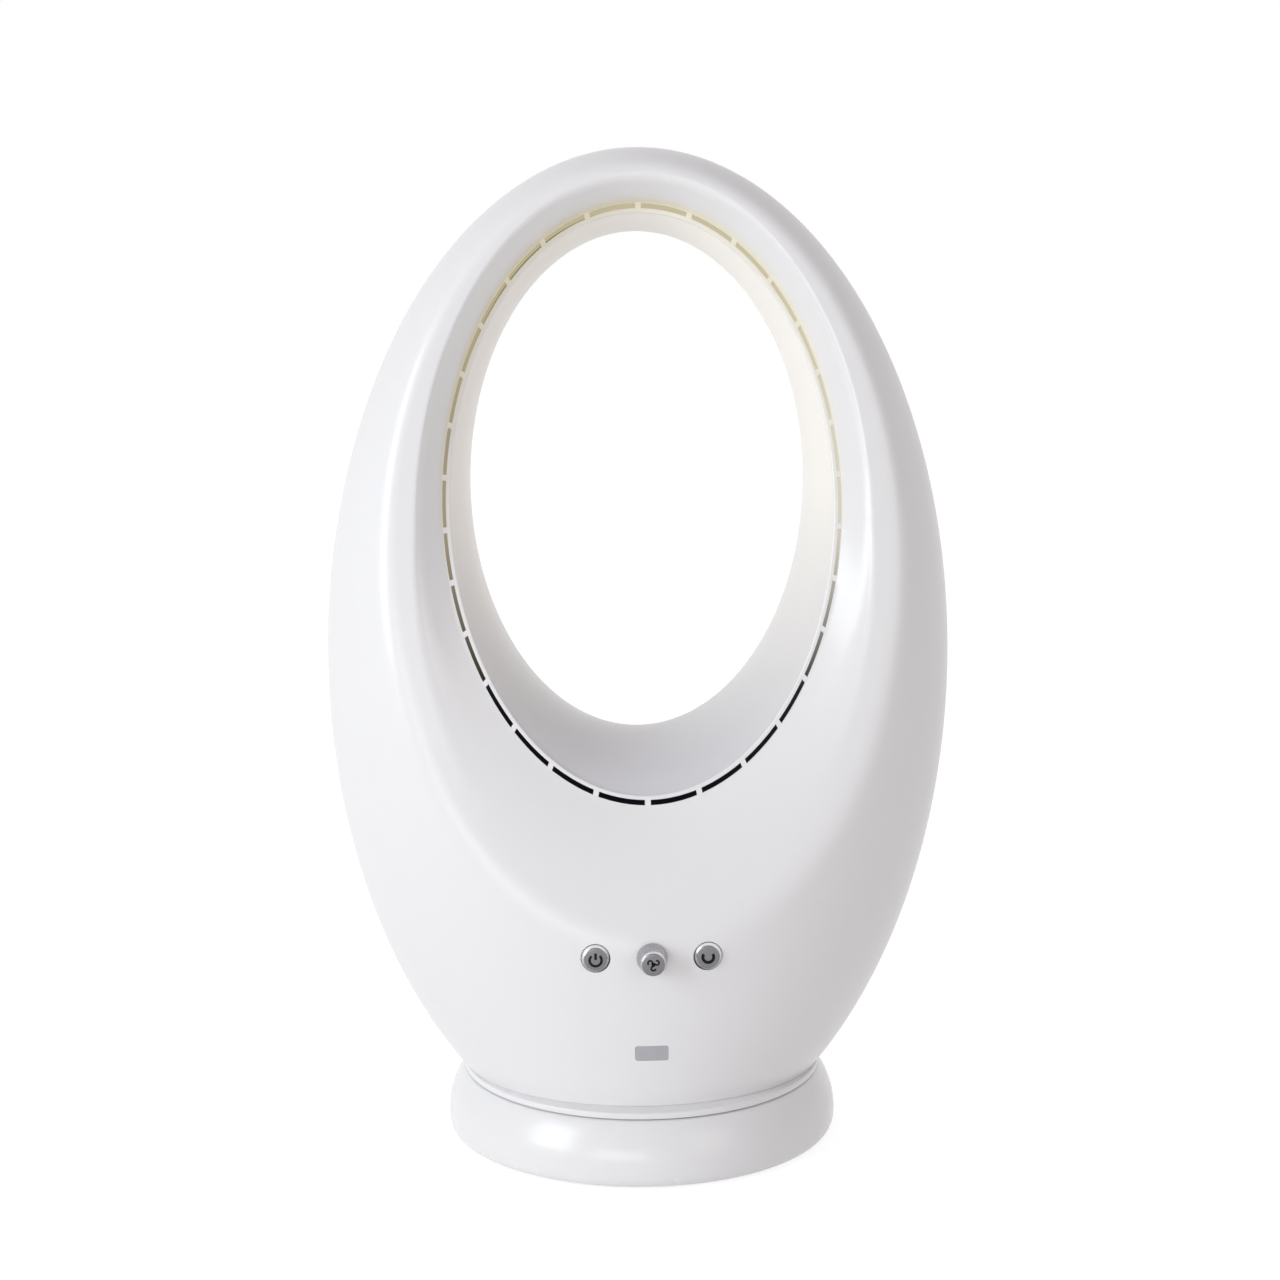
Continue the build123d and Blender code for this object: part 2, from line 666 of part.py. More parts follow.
(lip_in, lip_up), (curl_in, curl_up) = INLET_LIP
guide_in = GUIDE_R - GUIDE_RING
shroud_r = GUIDE_R + SHROUD_WALL
room_low, room_high = TIP_LOW_R + TIP_GAP, TIP_HIGH_R + TIP_GAP
shroud = turned([
    (INLET_R, INLET_Z), (INLET_R - lip_in, INLET_Z + lip_up), (room_low, IMPELLER_LOW - HUB_DISH),
    (room_high, IMPELLER_HIGH), (guide_in, GUIDE_STEP_Z - SHROUD_CONE), (guide_in, GUIDE_STEP_Z),
    (GUIDE_R, GUIDE_STEP_Z), (GUIDE_R, BAFFLE_Z),
    (SHROUD_FLANGE_R, BAFFLE_Z), (SHROUD_FLANGE_R, BAFFLE_Z - SHROUD_FLANGE),
    (shroud_r, BAFFLE_Z - SHROUD_FLANGE), (shroud_r, GUIDE_STEP_Z - SHROUD_CONE - PAST),
    (room_high + SHROUD_WALL, IMPELLER_HIGH - PAST), (room_low + SHROUD_WALL, IMPELLER_LOW),
    (INLET_R - curl_in, INLET_Z + curl_up), (INLET_R + PAST, INLET_Z + SHROUD_WALL)])
for x, y in shroud_spots:
    shroud += rod(BOSS_R, BAFFLE_Z - SHROUD_SCREW - 2 * TIP_ROOM, BAFFLE_Z, x, y) \
        - rod(GUIDE_R + PAST, 0, FAR)
    shroud -= rod(SCREW_R, BAFFLE_Z - SHROUD_SCREW - TIP_ROOM, BAFFLE_Z + PAST, x, y)
save("impeller_shroud", shroud)

guide = tube(GUIDE_R - RUN, guide_in, GUIDE_STEP_Z, BAFFLE_Z)
cup_in = CUP_R - CUP_WALL
cup = turned([(CUP_HOLE_R, CUP_LOW), (HUB_HIGH_R + TIP_GAP, CUP_LOW), (CUP_R, CUP_LOW + CUP_SHOULDER),
              (CUP_R, CUP_HIGH), (cup_in, CUP_HIGH), (cup_in, CUP_LOW + CUP_FLOOR),
              (CUP_HOLE_R, CUP_LOW + CUP_FLOOR)])
vane_low, vane_high = CUP_R - VANE_ROOT, guide_in + VANE_ROOT
for i in range(VANES):
    vane = Pos((vane_low + vane_high) / 2, 0, (GUIDE_STEP_Z + CUP_HIGH) / 2) * \
        Rot(VANE_TILT, 0, 0) * Box(vane_high - vane_low, VANE, CUP_HIGH - GUIDE_STEP_Z - VANE)
    guide += Rot(0, 0, 360 * i / VANES) * vane
save("air_guide", guide + cup)

plug_in = cup_in - CAP_WALL
cap_top = turned(
    [(r, CAP_HIGH - drop) for r, drop in CAP_DOME]
    + [(CUP_R, CUP_HIGH), (cup_in, CUP_HIGH), (cup_in - SEAT, CUP_HIGH - CAP_PLUG),
       (plug_in, CUP_HIGH - CAP_PLUG), (plug_in, CUP_HIGH + PAST)]
    + [(r * CAP_SLIM, CAP_HIGH - drop - CAP_WALL) for r, drop in reversed(CAP_DOME)])
save("motor_cap", cap_top)

hub = turned(
    [(SHAFT_R, IMPELLER_LOW + HUB_DISH), (HUB_LOW_R, IMPELLER_LOW)]
    + [(r, IMPELLER_LOW + up) for r, up in HUB_BELLY]
    + [(HUB_HIGH_R, IMPELLER_HIGH), (HUB_HIGH_R - HUB_WALL, IMPELLER_HIGH)]
    + [(r - HUB_WALL, IMPELLER_LOW + up + HUB_WALL) for r, up in reversed(HUB_BELLY)]
    + [(SLEEVE_R, IMPELLER_LOW + HUB_BELLY[0][1]), (SLEEVE_R, IMPELLER_HIGH - SLEEVE_DROP),
       (SHAFT_R, IMPELLER_HIGH - SLEEVE_DROP)])
blade_room = turned(
    [(HUB_LOW_R - BLADE_ROOT, IMPELLER_LOW), (TIP_LOW_R, IMPELLER_LOW), (TIP_HIGH_R, IMPELLER_HIGH),
     (HUB_HIGH_R - BLADE_ROOT, IMPELLER_HIGH)]
    + [(r - BLADE_ROOT, IMPELLER_LOW + up - BLADE_ROOT / 2) for r, up in reversed(HUB_BELLY)])
blade_in, blade_out = HUB_LOW_R - 2 * BLADE_ROOT, TIP_HIGH_R + 2 * PAST
path = []
for k in range(BLADE_STEPS + 1):
    r = blade_in + (blade_out - blade_in) * k / BLADE_STEPS
    a = radians(BLADE_SWEEP) * (k / BLADE_STEPS) ** BLADE_CURL
    path.append((r * cos(a), r * sin(a), 0))
spine = Spline(*path)
edge_face = Plane(path[0], x_dir=(0, 0, 1), z_dir=spine % 0) * \
    Rectangle(IMPELLER_HIGH - IMPELLER_LOW + 4 * PAST, BLADE)
blade = Pos(0, 0, (IMPELLER_LOW + IMPELLER_HIGH) / 2) * sweep(edge_face, path=spine)
blade = blade & blade_room
wheel = hub
for i in range(BLADES):
    wheel += Rot(0, 0, 360 * i / BLADES) * blade
save("impeller", wheel)

can_hole, seat_r, can_in = SHAFT_R + CAN_HOLE, BEARING_R + BEARING_SEAT, MOTOR_R - MOTOR_WALL
bearing_low = MOTOR_LOW + MOTOR_WALL
roof = MOTOR_HIGH - MOTOR_WALL
bearing_high = roof - BEARING
can = turned([(can_hole, MOTOR_LOW), (MOTOR_R, MOTOR_LOW), (MOTOR_R, MOTOR_HIGH),
              (can_hole, MOTOR_HIGH), (can_hole, roof), (BEARING_R, roof),
              (BEARING_R, bearing_high), (seat_r, bearing_high), (seat_r, roof), (can_in, roof),
              (can_in, bearing_low), (seat_r, bearing_low), (seat_r, bearing_low + BEARING),
              (BEARING_R, bearing_low + BEARING), (BEARING_R, bearing_low),
              (can_hole, bearing_low)])
save("motor_can", can)
save("motor_bearings", Compound([
    tube(BEARING_R, SHAFT_R + RUN, z, z + BEARING).solid() for z in (bearing_low, bearing_high)]))
stack_low, stack_high = bearing_low + BEARING + STACK_GAP, bearing_high - STACK_GAP
stator = tube(can_in, STATOR_R, stack_low, stack_high)
slot_in, slot_out, slot_wide = STATOR_SLOT
for i in range(STATOR_SLOTS):
    turn = Rot(0, 0, 360 * i / STATOR_SLOTS)
    stator -= turn * block(slot_in, slot_out, -slot_wide / 2, slot_wide / 2,
                           stack_low - PAST, stack_high + PAST)
    stator -= turn * block(STATOR_R - PAST, slot_in + PAST, -STATOR_MOUTH / 2, STATOR_MOUTH / 2,
                           stack_low - PAST, stack_high + PAST)
save("motor_stator", stator)
save("motor_rotor", rod(SHAFT_R, SHAFT_LOW, roof)
     + rod(MAGNET_R, stack_low + MAGNET_SHORT, stack_high - MAGNET_SHORT))
save("motor_isolators", Compound([
    tube(cup_in, MOTOR_R, z, z + ISOLATOR).solid()
    for z in (MOTOR_LOW + ISOLATOR_INSET, MOTOR_HIGH - ISOLATOR_INSET - ISOLATOR)]))
save("shroud_screws", Compound([
    (rod(SCREW_R, BAFFLE_Z - SHROUD_SCREW, BAFFLE_Z + BAFFLE, x, y)
     + rod(HEAD_R, BAFFLE_Z + BAFFLE, BAFFLE_Z + BAFFLE + HEAD, x, y)).solid()
    for x, y in shroud_spots]))

# ================================================================ controls
board = block(-BOARD_X, BOARD_X, BOARD_Y, BOARD_Y + BOARD, BOARD_LOW, BOARD_HIGH)
for x, z in board_spots:
    board -= pin(SCREW_R + BORE_PLAY, BOARD_Y - PAST, BOARD_Y + BOARD + PAST, x, z)
save("control_board", board)
save("board_screws", Compound([
    (pin(PILOT_R, BOARD_Y - BOARD_SCREW, BOARD_Y + BOARD, x, z)
     + pin(HEAD_R, BOARD_Y + BOARD, BOARD_Y + BOARD + HEAD, x, z)).solid()
    for x, z in board_spots]))
half = SWITCH / 2
save("push_switches", Compound([
    (block(x - half, x + half, BOARD_Y - SWITCH_HIGH, BOARD_Y, CONTROL_Z - half, CONTROL_Z + half)
     + pin(PLUNGER_R, BOARD_Y - SWITCH_HIGH - PLUNGER, BOARD_Y - SWITCH_HIGH, x, CONTROL_Z)).solid()
    for x in button_spots]))
lip_back = GUIDE_BACK + AXIAL + BUTTON_LIP
save("stop_pads", Compound([
    (pin(STOP_PAD_R, lip_back + BUTTON_TRAVEL + TOUCH, BOARD_Y, x, CONTROL_Z)
     - pin(STOP_PAD_R - STOP_PAD_WALL, -FAR, 0, x, CONTROL_Z)).solid()
    for x in button_spots]))

for name, x in (("power_button", -BUTTON_X), ("oscillation_button", BUTTON_X)):
    cap = pin(BUTTON_R, BUTTON_FRONT, GUIDE_BACK + AXIAL, x, CONTROL_Z)
    cap = fillet(cap.edges().group_by(Axis.Y)[0], BUTTON_DISH)
    cap += pin(BUTTON_LIP_R, GUIDE_BACK + AXIAL, lip_back, x, CONTROL_Z)
    cap -= pin(CAP_CORE_R, CAP_CORE_FRONT, 0, x, CONTROL_Z)
    stem_end = BOARD_Y - SWITCH_HIGH - PLUNGER - BUTTON_TRAVEL - RUN
    cap += pin(STEM_R, CAP_CORE_FRONT - PAST, stem_end, x, CONTROL_Z)
    save(name, cap)

knob_cone = Cone(KNOB_FACE_R, KNOB_BASE_R, KNOB_BACK - KNOB_FACE,
                 align=(Align.CENTER, Align.CENTER, Align.MIN))
knob = Pos(0, KNOB_FACE, CONTROL_Z) * Rot(-90, 0, 0) * knob_cone
knob = fillet(knob.edges().filter_by(GeomType.CIRCLE).group_by(Axis.Y)[0], KNOB_EDGE)
knob -= pin(KNOB_BASE_R - KNOB_SHELL, KNOB_BACK - KNOB_RECESS, KNOB_BACK + PAST, 0, CONTROL_Z)
knob += pin(KNOB_HUB_R, KNOB_BACK - KNOB_RECESS - PAST, POT_BUSH_END - KNOB_AHEAD, 0, CONTROL_Z)
shaft_front, shaft_back = KNOB_FACE + KNOB_CAP, BOARD_Y - POT_FLOOR
knob -= pin(POT_SHAFT_R, shaft_front, 0, 0, CONTROL_Z)
save("speed_knob", knob)
pot = block(-POT / 2, POT / 2, BOARD_Y - POT_DEEP, BOARD_Y, CONTROL_Z - POT / 2,
            CONTROL_Z + POT / 2) \
    + pin(POT_BUSH_R, POT_BUSH_END, BOARD_Y - POT_DEEP, 0, CONTROL_Z) \
    - pin(POT_SHAFT_R + RUN, FRONT_CUT[0], shaft_back, 0, CONTROL_Z)
save("potentiometer", pot)
save("potentiometer_shaft", pin(POT_SHAFT_R, shaft_front, shaft_back - RUN, 0, CONTROL_Z))
save("ir_receiver",
     block(-RECEIVER_X, RECEIVER_X, BOARD_Y - RECEIVER, BOARD_Y,
           WINDOW_CENTRE_Z - RECEIVER_Z, WINDOW_CENTRE_Z + RECEIVER_Z)
     + pin(RECEIVER_LENS_R, BOARD_Y - RECEIVER - RECEIVER_LENS, BOARD_Y - RECEIVER, 0,
           WINDOW_CENTRE_Z))

save("shell_screws", Compound([
    (pin(SCREW_R, -BOSS_FRONT + BOSS_END + TIP_ROOM, SHELL_HEAD_Y, x, z)
     + pin(HEAD_R, SHELL_HEAD_Y, SHELL_HEAD_Y + HEAD, x, z)).solid() for x, z in screw_spots]))

# ================================================================ turntable
turn_low = NECK_Z - TURN_FLOOR
disc = rod(TURN_R, turn_low, NECK_Z)
disc = fillet(disc.edges().filter_by(GeomType.CIRCLE), TURN_EDGE)
turntable = disc + rod(HUB_R, DECK_TOP - HUB_LONG, NECK_Z) - rod(HUB_BORE_R, 0, FAR)
clip_high = BUSH_LOW - AXIAL
turntable -= tube(HUB_R + PAST, HUB_R - CLIP_GROOVE, clip_high - CLIP, clip_high)
for x, y in floor_spots:
    turntable -= rod(SCREW_R + BORE_PLAY, turn_low - PAST, NECK_Z + PAST, x, y)
gear_spots = list(around(GEAR_SCREWS, GEAR_SCREW_R))
for x, y in gear_spots:
    turntable -= rod(GEAR_SCREW_SHANK, turn_low - PAST, NECK_Z - GEAR_SCREW_ROOF, x, y)
board_pegs = [(x, y) for x in (-PEG_X, PEG_X) for y in PEG_Y]
for x, y in board_pegs:
    turntable += rod(PEG_R, NECK_Z, NECK_Z + PEG, x, y)
    turntable -= rod(PILOT_R, NECK_Z, NECK_Z + PEG + PAST, x, y)
save("turntable", turntable)

gear_low = turn_low - GEAR_HIGH
gear_head_seat = gear_low + GEAR_SINK
ring_face = Circle(GEAR_RIM_R) - gear_face(
    GEAR_TEETH, GEAR_MODULE * (GEAR_TEETH / 2 + DEDENDUM), GEAR_MODULE * (GEAR_TEETH / 2 - ADDENDUM),
    -BACKLASH)
ring = extrude(Plane.XY.offset(gear_low) * ring_face, GEAR_HIGH)
for x, y in gear_spots:
    ring -= rod(GEAR_SCREW_SHANK + BORE_PLAY / 2, gear_low - PAST, turn_low + PAST, x, y)
    ring -= rod(GEAR_HEAD_R + BORE_PLAY / 2, gear_low - PAST, gear_head_seat, x, y)
save("ring_gear", ring)
save("gear_screws", Compound([
    (rod(GEAR_SCREW_SHANK, gear_head_seat, NECK_Z - GEAR_SCREW_ROOF - GEAR_SCREW_GAP, x, y)
     + rod(GEAR_HEAD_R, gear_low + GEAR_HEAD_SINK, gear_head_seat, x, y)).solid()
    for x, y in gear_spots]))

top = NECK_Z + PEG + BOARD
main_board = block(-MAIN_BOARD_X, MAIN_BOARD_X, *MAIN_BOARD_Y, NECK_Z + PEG, top)
for x, y in board_pegs:
    main_board -= rod(SCREW_R + BORE_PLAY, NECK_Z, top + PAST, x, y)
for x, y, r, high in CAPACITORS:
    main_board += rod(r, top - LEG, top + high, x, y)
for x0, x1, y0, y1, high in CHIPS:
    main_board += block(x0, x1, y0, y1, top - LEG, top + high)
save("main_board", main_board)
save("main_board_screws", Compound([
    (rod(PILOT_R, NECK_Z + TIP_ROOM / 2, top, x, y) + rod(HEAD_R, top, top + HEAD, x, y)).solid()
    for x, y in board_pegs]))
save("turntable_screws", Compound([
    (rod(SCREW_R, turn_low, turn_screw_top, x, y)
     + rod(HEAD_R, turn_low - HEAD, turn_low, x, y)).solid() for x, y in floor_spots]))
clip = tube(CLIP_R, HUB_R - CLIP_GROOVE, clip_high - CLIP, clip_high) \
    - block(0, FAR, -CLIP_MOUTH, CLIP_MOUTH, 0, FAR)
save("spindle_clip", clip)

# ================================================================ foot
deck = DECK_TOP - FOOT_DECK
rim_low = FOOT_TOP - FOOT_DECK
bush_r = HUB_R + RUN
inner = [(r - FOOT_WALL, z) for r, z in FOOT_PROFILE[:-1]]
inner_line = Polyline((FOOT_RIM_R, FOOT_TOP), (FOOT_RIM_R, DECK_TOP), (bush_r, DECK_TOP),
                      (bush_r, BUSH_LOW), (bush_r + BUSH_WALL, BUSH_LOW), (bush_r + BUSH_WALL, deck),
                      (FOOT_RIM_R + FOOT_DECK, deck), (FOOT_RIM_R + FOOT_DECK, rim_low),
                      (inner[-1][0], rim_low), *reversed(inner[:-1]))
cover_face = make_face([Spline(*FOOT_PROFILE), Line(FOOT_PROFILE[-1], (FOOT_RIM_R, FOOT_TOP)),
                        inner_line, Line(inner[0], FOOT_PROFILE[0])])
foot = revolve(Plane.XZ * cover_face, Axis.Z)
base_spots = list(around(BASE_SCREWS, BASE_BOSS_RING_R))
plate_high = FOOT_LOW + PLATE
for x, y in base_spots:
    foot += rod(BASE_BOSS_R, plate_high, rim_low + PAST, x, y)
ear_spots = [(-OSC_EAR_X, PINION_Y), (OSC_EAR_X, PINION_Y)]
ear_screw_top = DECK_TOP - 2 * TIP_ROOM
for x, y in ear_spots:
    foot += rod(OSC_EAR_R, OSC_MOTOR_HIGH, deck + PAST, x, y)
foot += block(-FLAT_X - FLAT_RIM, FLAT_X + FLAT_RIM, FLAT_Y - FOOT_WALL, FLAT_Y,
              plate_high + SEAT, GLAND_Z + FLAT_Z + PAST)
foot -= rod(PINION_HOLE_R, deck - PAST, DECK_TOP + PAST, 0, PINION_Y)
pad_spots = list(around(PADS, PAD_RING_R))
for x, y in pad_spots:
    foot -= rod(PAD_PEG_R, deck - PAST, DECK_TOP + PAST, x, y)
for x, y in base_spots:
    foot -= rod(SCREW_R, 0, plate_high + BASE_SCREW + TIP_ROOM, x, y)
for x, y in ear_spots:
    foot -= rod(PILOT_R, OSC_MOTOR_HIGH - PAST, ear_screw_top + TIP_ROOM / 2, x, y)
foot -= block(-FLAT_X, FLAT_X, FLAT_Y, FAR, GLAND_Z - FLAT_Z, GLAND_Z + FLAT_Z)
foot -= pin(GLAND_NECK_R, *FOOT_CUT, 0, GLAND_Z)
save("foot_cover", foot)

plate = rod(PLATE_R, FOOT_LOW, plate_high)
feet_spots = list(around(FEET, FEET_RING_R, pi / 2))
for x, y in feet_spots:
    plate -= rod(FEET_R, 0, FOOT_LOW + FEET_RECESS, x, y)
for x, y in base_spots:
    plate -= rod(SCREW_R + BORE_PLAY, 0, plate_high + PAST, x, y)
    plate -= rod(HEAD_R + BORE_PLAY, 0, FOOT_LOW + BASE_HEAD, x, y)
save("base_plate", plate)
save("rubber_feet", Compound([rod(FEET_R, 0, FEET_HIGH, x, y).solid() for x, y in feet_spots]))
save("base_screws", Compound([
    (rod(SCREW_R, FOOT_LOW + BASE_HEAD, plate_high + BASE_SCREW, x, y)
     + rod(HEAD_R, FOOT_LOW + AXIAL, FOOT_LOW + BASE_HEAD, x, y)).solid()
    for x, y in base_spots]))
weight = tube(WEIGHT_R[1], WEIGHT_R[0], plate_high, plate_high + WEIGHT) \
    - block(-WEIGHT_GAP_X, WEIGHT_GAP_X, 0, FAR, 0, FAR)
save("ballast_weight", weight)
save("glide_pads", Compound([
    (rod(PAD_R, DECK_TOP, turn_low - AXIAL / 2, x, y)
     + rod(PAD_PEG_R, DECK_TOP - PAD_PEG, DECK_TOP, x, y)).solid()
    for x, y in pad_spots]))
gland = pin(GLAND_R, FLAT_Y, GLAND_BACK, 0, GLAND_Z) \
    + pin(GLAND_NECK_R, GLAND_BACK - GLAND_LONG, FLAT_Y, 0, GLAND_Z) \
    + pin(GLAND_R, GLAND_BACK - GLAND_LONG, FLAT_Y - FOOT_WALL, 0, GLAND_Z) \
    - pin(GLAND_BORE_R, *FOOT_CUT, 0, GLAND_Z)
save("cord_gland", gland)

motor = rod(OSC_MOTOR_R, OSC_MOTOR_LOW, OSC_MOTOR_HIGH, 0, PINION_Y)
ear_low = OSC_MOTOR_HIGH - OSC_EAR
motor += block(-OSC_EAR_X, OSC_EAR_X, PINION_Y - OSC_EAR_R, PINION_Y + OSC_EAR_R,
               ear_low, OSC_MOTOR_HIGH)
for x, y in ear_spots:
    motor += rod(OSC_EAR_R, ear_low, OSC_MOTOR_HIGH, x, y)
    motor -= rod(SCREW_R + BORE_PLAY, ear_low - PAST, OSC_MOTOR_HIGH + PAST, x, y)
motor -= rod(OSC_SHAFT_R + RUN, DRIVE_LOW - RUN, OSC_MOTOR_HIGH + PAST, 0, PINION_Y)
save("oscillation_motor", motor)
save("motor_screws", Compound([
    (rod(PILOT_R, ear_low, ear_screw_top, x, y)
     + rod(HEAD_R, ear_low - HEAD, ear_low, x, y)).solid() for x, y in ear_spots]))
pinion_face = gear_face(PINION_TEETH, GEAR_MODULE * (PINION_TEETH / 2 + ADDENDUM),
                        GEAR_MODULE * (PINION_TEETH / 2 - DEDENDUM), BACKLASH)
pinion_low = gear_low + PINION_INSET
pinion = extrude(Plane.XY.offset(pinion_low) * pinion_face, turn_low - PINION_SHORT - pinion_low)
pinion = Pos(0, PINION_Y, 0) * Rot(0, 0, 90) * pinion
pinion += rod(OSC_SHAFT_R, DRIVE_LOW, pinion_low + PAST, 0, PINION_Y) \
    + rod(PINION_COLLAR_R, OSC_MOTOR_HIGH + PAST, pinion_low + AXIAL, 0, PINION_Y)
save("drive_pinion", pinion)
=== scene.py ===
import json
from bisect import bisect_left
from math import asin, cos, hypot, pi, radians, sin, sqrt

import bmesh
import bpy
from bpy.props import FloatProperty, FloatVectorProperty, IntProperty, PointerProperty
from mathutils import Matrix, Vector


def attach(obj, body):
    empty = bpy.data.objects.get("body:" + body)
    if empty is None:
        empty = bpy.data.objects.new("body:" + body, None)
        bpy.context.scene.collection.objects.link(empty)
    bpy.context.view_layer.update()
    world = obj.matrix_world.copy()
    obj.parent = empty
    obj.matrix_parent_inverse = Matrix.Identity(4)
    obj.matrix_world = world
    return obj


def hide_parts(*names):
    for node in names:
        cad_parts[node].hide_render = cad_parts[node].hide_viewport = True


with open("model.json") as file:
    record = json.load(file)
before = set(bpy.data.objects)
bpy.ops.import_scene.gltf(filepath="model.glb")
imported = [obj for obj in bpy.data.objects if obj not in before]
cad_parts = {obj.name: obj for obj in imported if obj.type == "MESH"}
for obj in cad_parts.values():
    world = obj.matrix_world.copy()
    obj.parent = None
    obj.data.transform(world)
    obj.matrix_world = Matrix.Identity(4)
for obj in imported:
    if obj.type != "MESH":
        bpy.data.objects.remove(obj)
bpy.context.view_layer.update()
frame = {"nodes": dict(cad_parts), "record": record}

bl_info = {
    "name": "Bladeless desk fan",
    "version": (1, 0, 0),
    "blender": (4, 5, 0),
    "location": "3D View > Sidebar > Fan",
    "description": "Dresses the packed frame of a bladeless desk fan: shells, controls, foot and studio",
    "category": "Add Mesh",
}

MM = 0.001                              # lengths are in metres, those multiplied by MM in millimetres
TURN = 2 * pi
FRONT, BACK, UP, DOWN = Vector((0, -1, 0)), Vector((0, 1, 0)), Vector((0, 0, 1)), Vector((0, 0, -1))
EDGE_ANGLE = radians(32)                # edges that turn more than this stay sharp
FRAME_WELD = 0.002 * MM                 # corners of the frame's triangles this near are one
SAME_POINT = 0.0001 * MM                # and those of a new surface

BUTTON_REACH = 0.0985                   # front faces of the buttons, before the axis
KNOB_REACH = 0.1104                     # front face of the knob, before the axis
BELLY_POWER, BACK_POWER = 4.0, 1.6      # how late the belly and the back draw in to the neck
LAND_SLOPE, LAND_CURL = 0.145, 1.1      # how the land leans forward downwards, and curls below land_z
CREST_GROWTH = 1.4                      # how much rounder the crest is at the top
CREST_FROM, CREST_SPAN = 0.38, 0.12     # the height where it starts to grow, and over how much
MOUTH_Z = 0.3435                        # middle of the crest round the funnel
MOUTH_UP, MOUTH_DOWN = 0.1760, 0.1785   # how far the crest reaches above and below it
MOUTH_SPREAD = 0.009                    # how much wider the crest is below it
NECK_ANGLE = radians(-50)               # lower angles round the mouth end on the body's lower edge

SLOT_ENDS = (-0.070, 0.199), (-0.008, 0.506)        # lowest and highest (y, z) of the ring of slots,
THROAT_ENDS = (-0.010, 0.2255), (0.017, 0.495)      # of the oval opening,
FLARE_ENDS = (0.066, 0.2075), (0.042, 0.507)        # of the duct where it widens again,
EXIT_ENDS = (0.110, 0.192), (0.088, 0.516)          # and of its end behind the body
FLARE_HALF, EXIT_HALF = 0.099, 0.105                # half widths of the last two
DUCT_KNOTS = (0.0, 0.31, 0.69, 1.0)                 # shares of the duct's curve that lie on the ovals
SLOT_SHARE = 1.018                      # outer edge of the slots, as a share of their inner edge
SLOT_CELLS = 12                         # columns of faces along one slot
FLANGE_LIP = 0.0023                     # how far the flange reaches inside the slots
REAR_GAP = 0.0023                       # how far the rear shell's hole lies outside the duct
FRONT_WALL, REAR_WALL, DUCT_WALL = 0.0014, 0.0016, 0.0017
RING_COLUMNS = 288                      # columns of faces round the rear shell and the duct

SCREW_HEIGHTS = (0.112, 0.262, 0.420)   # of the screws that join the shells, a pair at each
SCREW_INSET = 0.020                     # how far they lie inside the outline
SCREW_HOLE = 0.0030                     # radius of the holes over their heads
INLET_Z = 0.013                         # height of the cord's inlet in the foot
PRINT_LIFT = 0.00006                    # how far a printed symbol stands proud


def length(name, description, default):
    return FloatProperty(name=name, description=description, default=default, unit="LENGTH",
                         subtype="DISTANCE", precision=5)


def colour(name, description, default):
    return FloatVectorProperty(name=name, description=description, default=default, size=3,
                               subtype="COLOR", min=0.0, max=1.0)


class FanSizes(bpy.types.PropertyGroup):
    half_width: length("Half width", "Widest half width of the egg-shaped body", 0.170)
    half_height: length("Half height", "Half height of the body's ellipse", 0.2757)
    centre_z: length("Centre height", "Height of the body's widest place", 0.2625)
    neck_z: length("Neck height", "Lower edge of the body", 0.0386)
    front_neck: length("Front neck", "How far the lower edge reaches in front of the axis", 0.089)
    rear_neck: length("Rear neck", "How far the lower edge reaches behind the axis", 0.099)
    front_depth: length("Front depth", "Depth of the belly in front of the axis", 0.101)
    rear_depth: length("Rear depth", "Depth of the back behind the axis", 0.076)
    land_z: length("Land height", "Above this height the front's land is straight", 0.240)
    land_y: length("Land reach", "How far the land lies in front of the axis there", 0.0695)
    edge_softness: length("Edge softness", "Softness of the line between land and side", 0.0045)
    crest_softness: length("Crest softness", "Softness of the crest round the funnel", 0.0045)
    hem: length("Hem", "Rounding of the body's lower edge", 0.0006)
    slot_half_width: length("Slot ring half width", "Half width of the ring of slots", 0.1035)
    mouth_half_width: length("Mouth half width", "Half width of the crest round the funnel", 0.1178)
    throat_half_width: length("Throat half width", "Half width of the oval opening", 0.0911)
    bridge: length("Bridge", "Bridge between two slots", 0.003)
    flange: length("Flange", "Thickness of the slotted flange", 0.0016)
    button_radius: length("Button radius", "Radius of the push buttons", 0.00755)
    button_x: length("Button place", "How far the buttons lie from the middle", 0.0291)
    control_z: length("Control height", "Height of the buttons and the knob", 0.122)
    foot_height: length("Foot height", "Top of the foot's rim", 0.0345)
    deck_height: length("Deck height", "Top of the sunk deck in the foot", 0.0309)
    slots: IntProperty(name="Slots", description="Air slots round the opening", default=30, min=8)


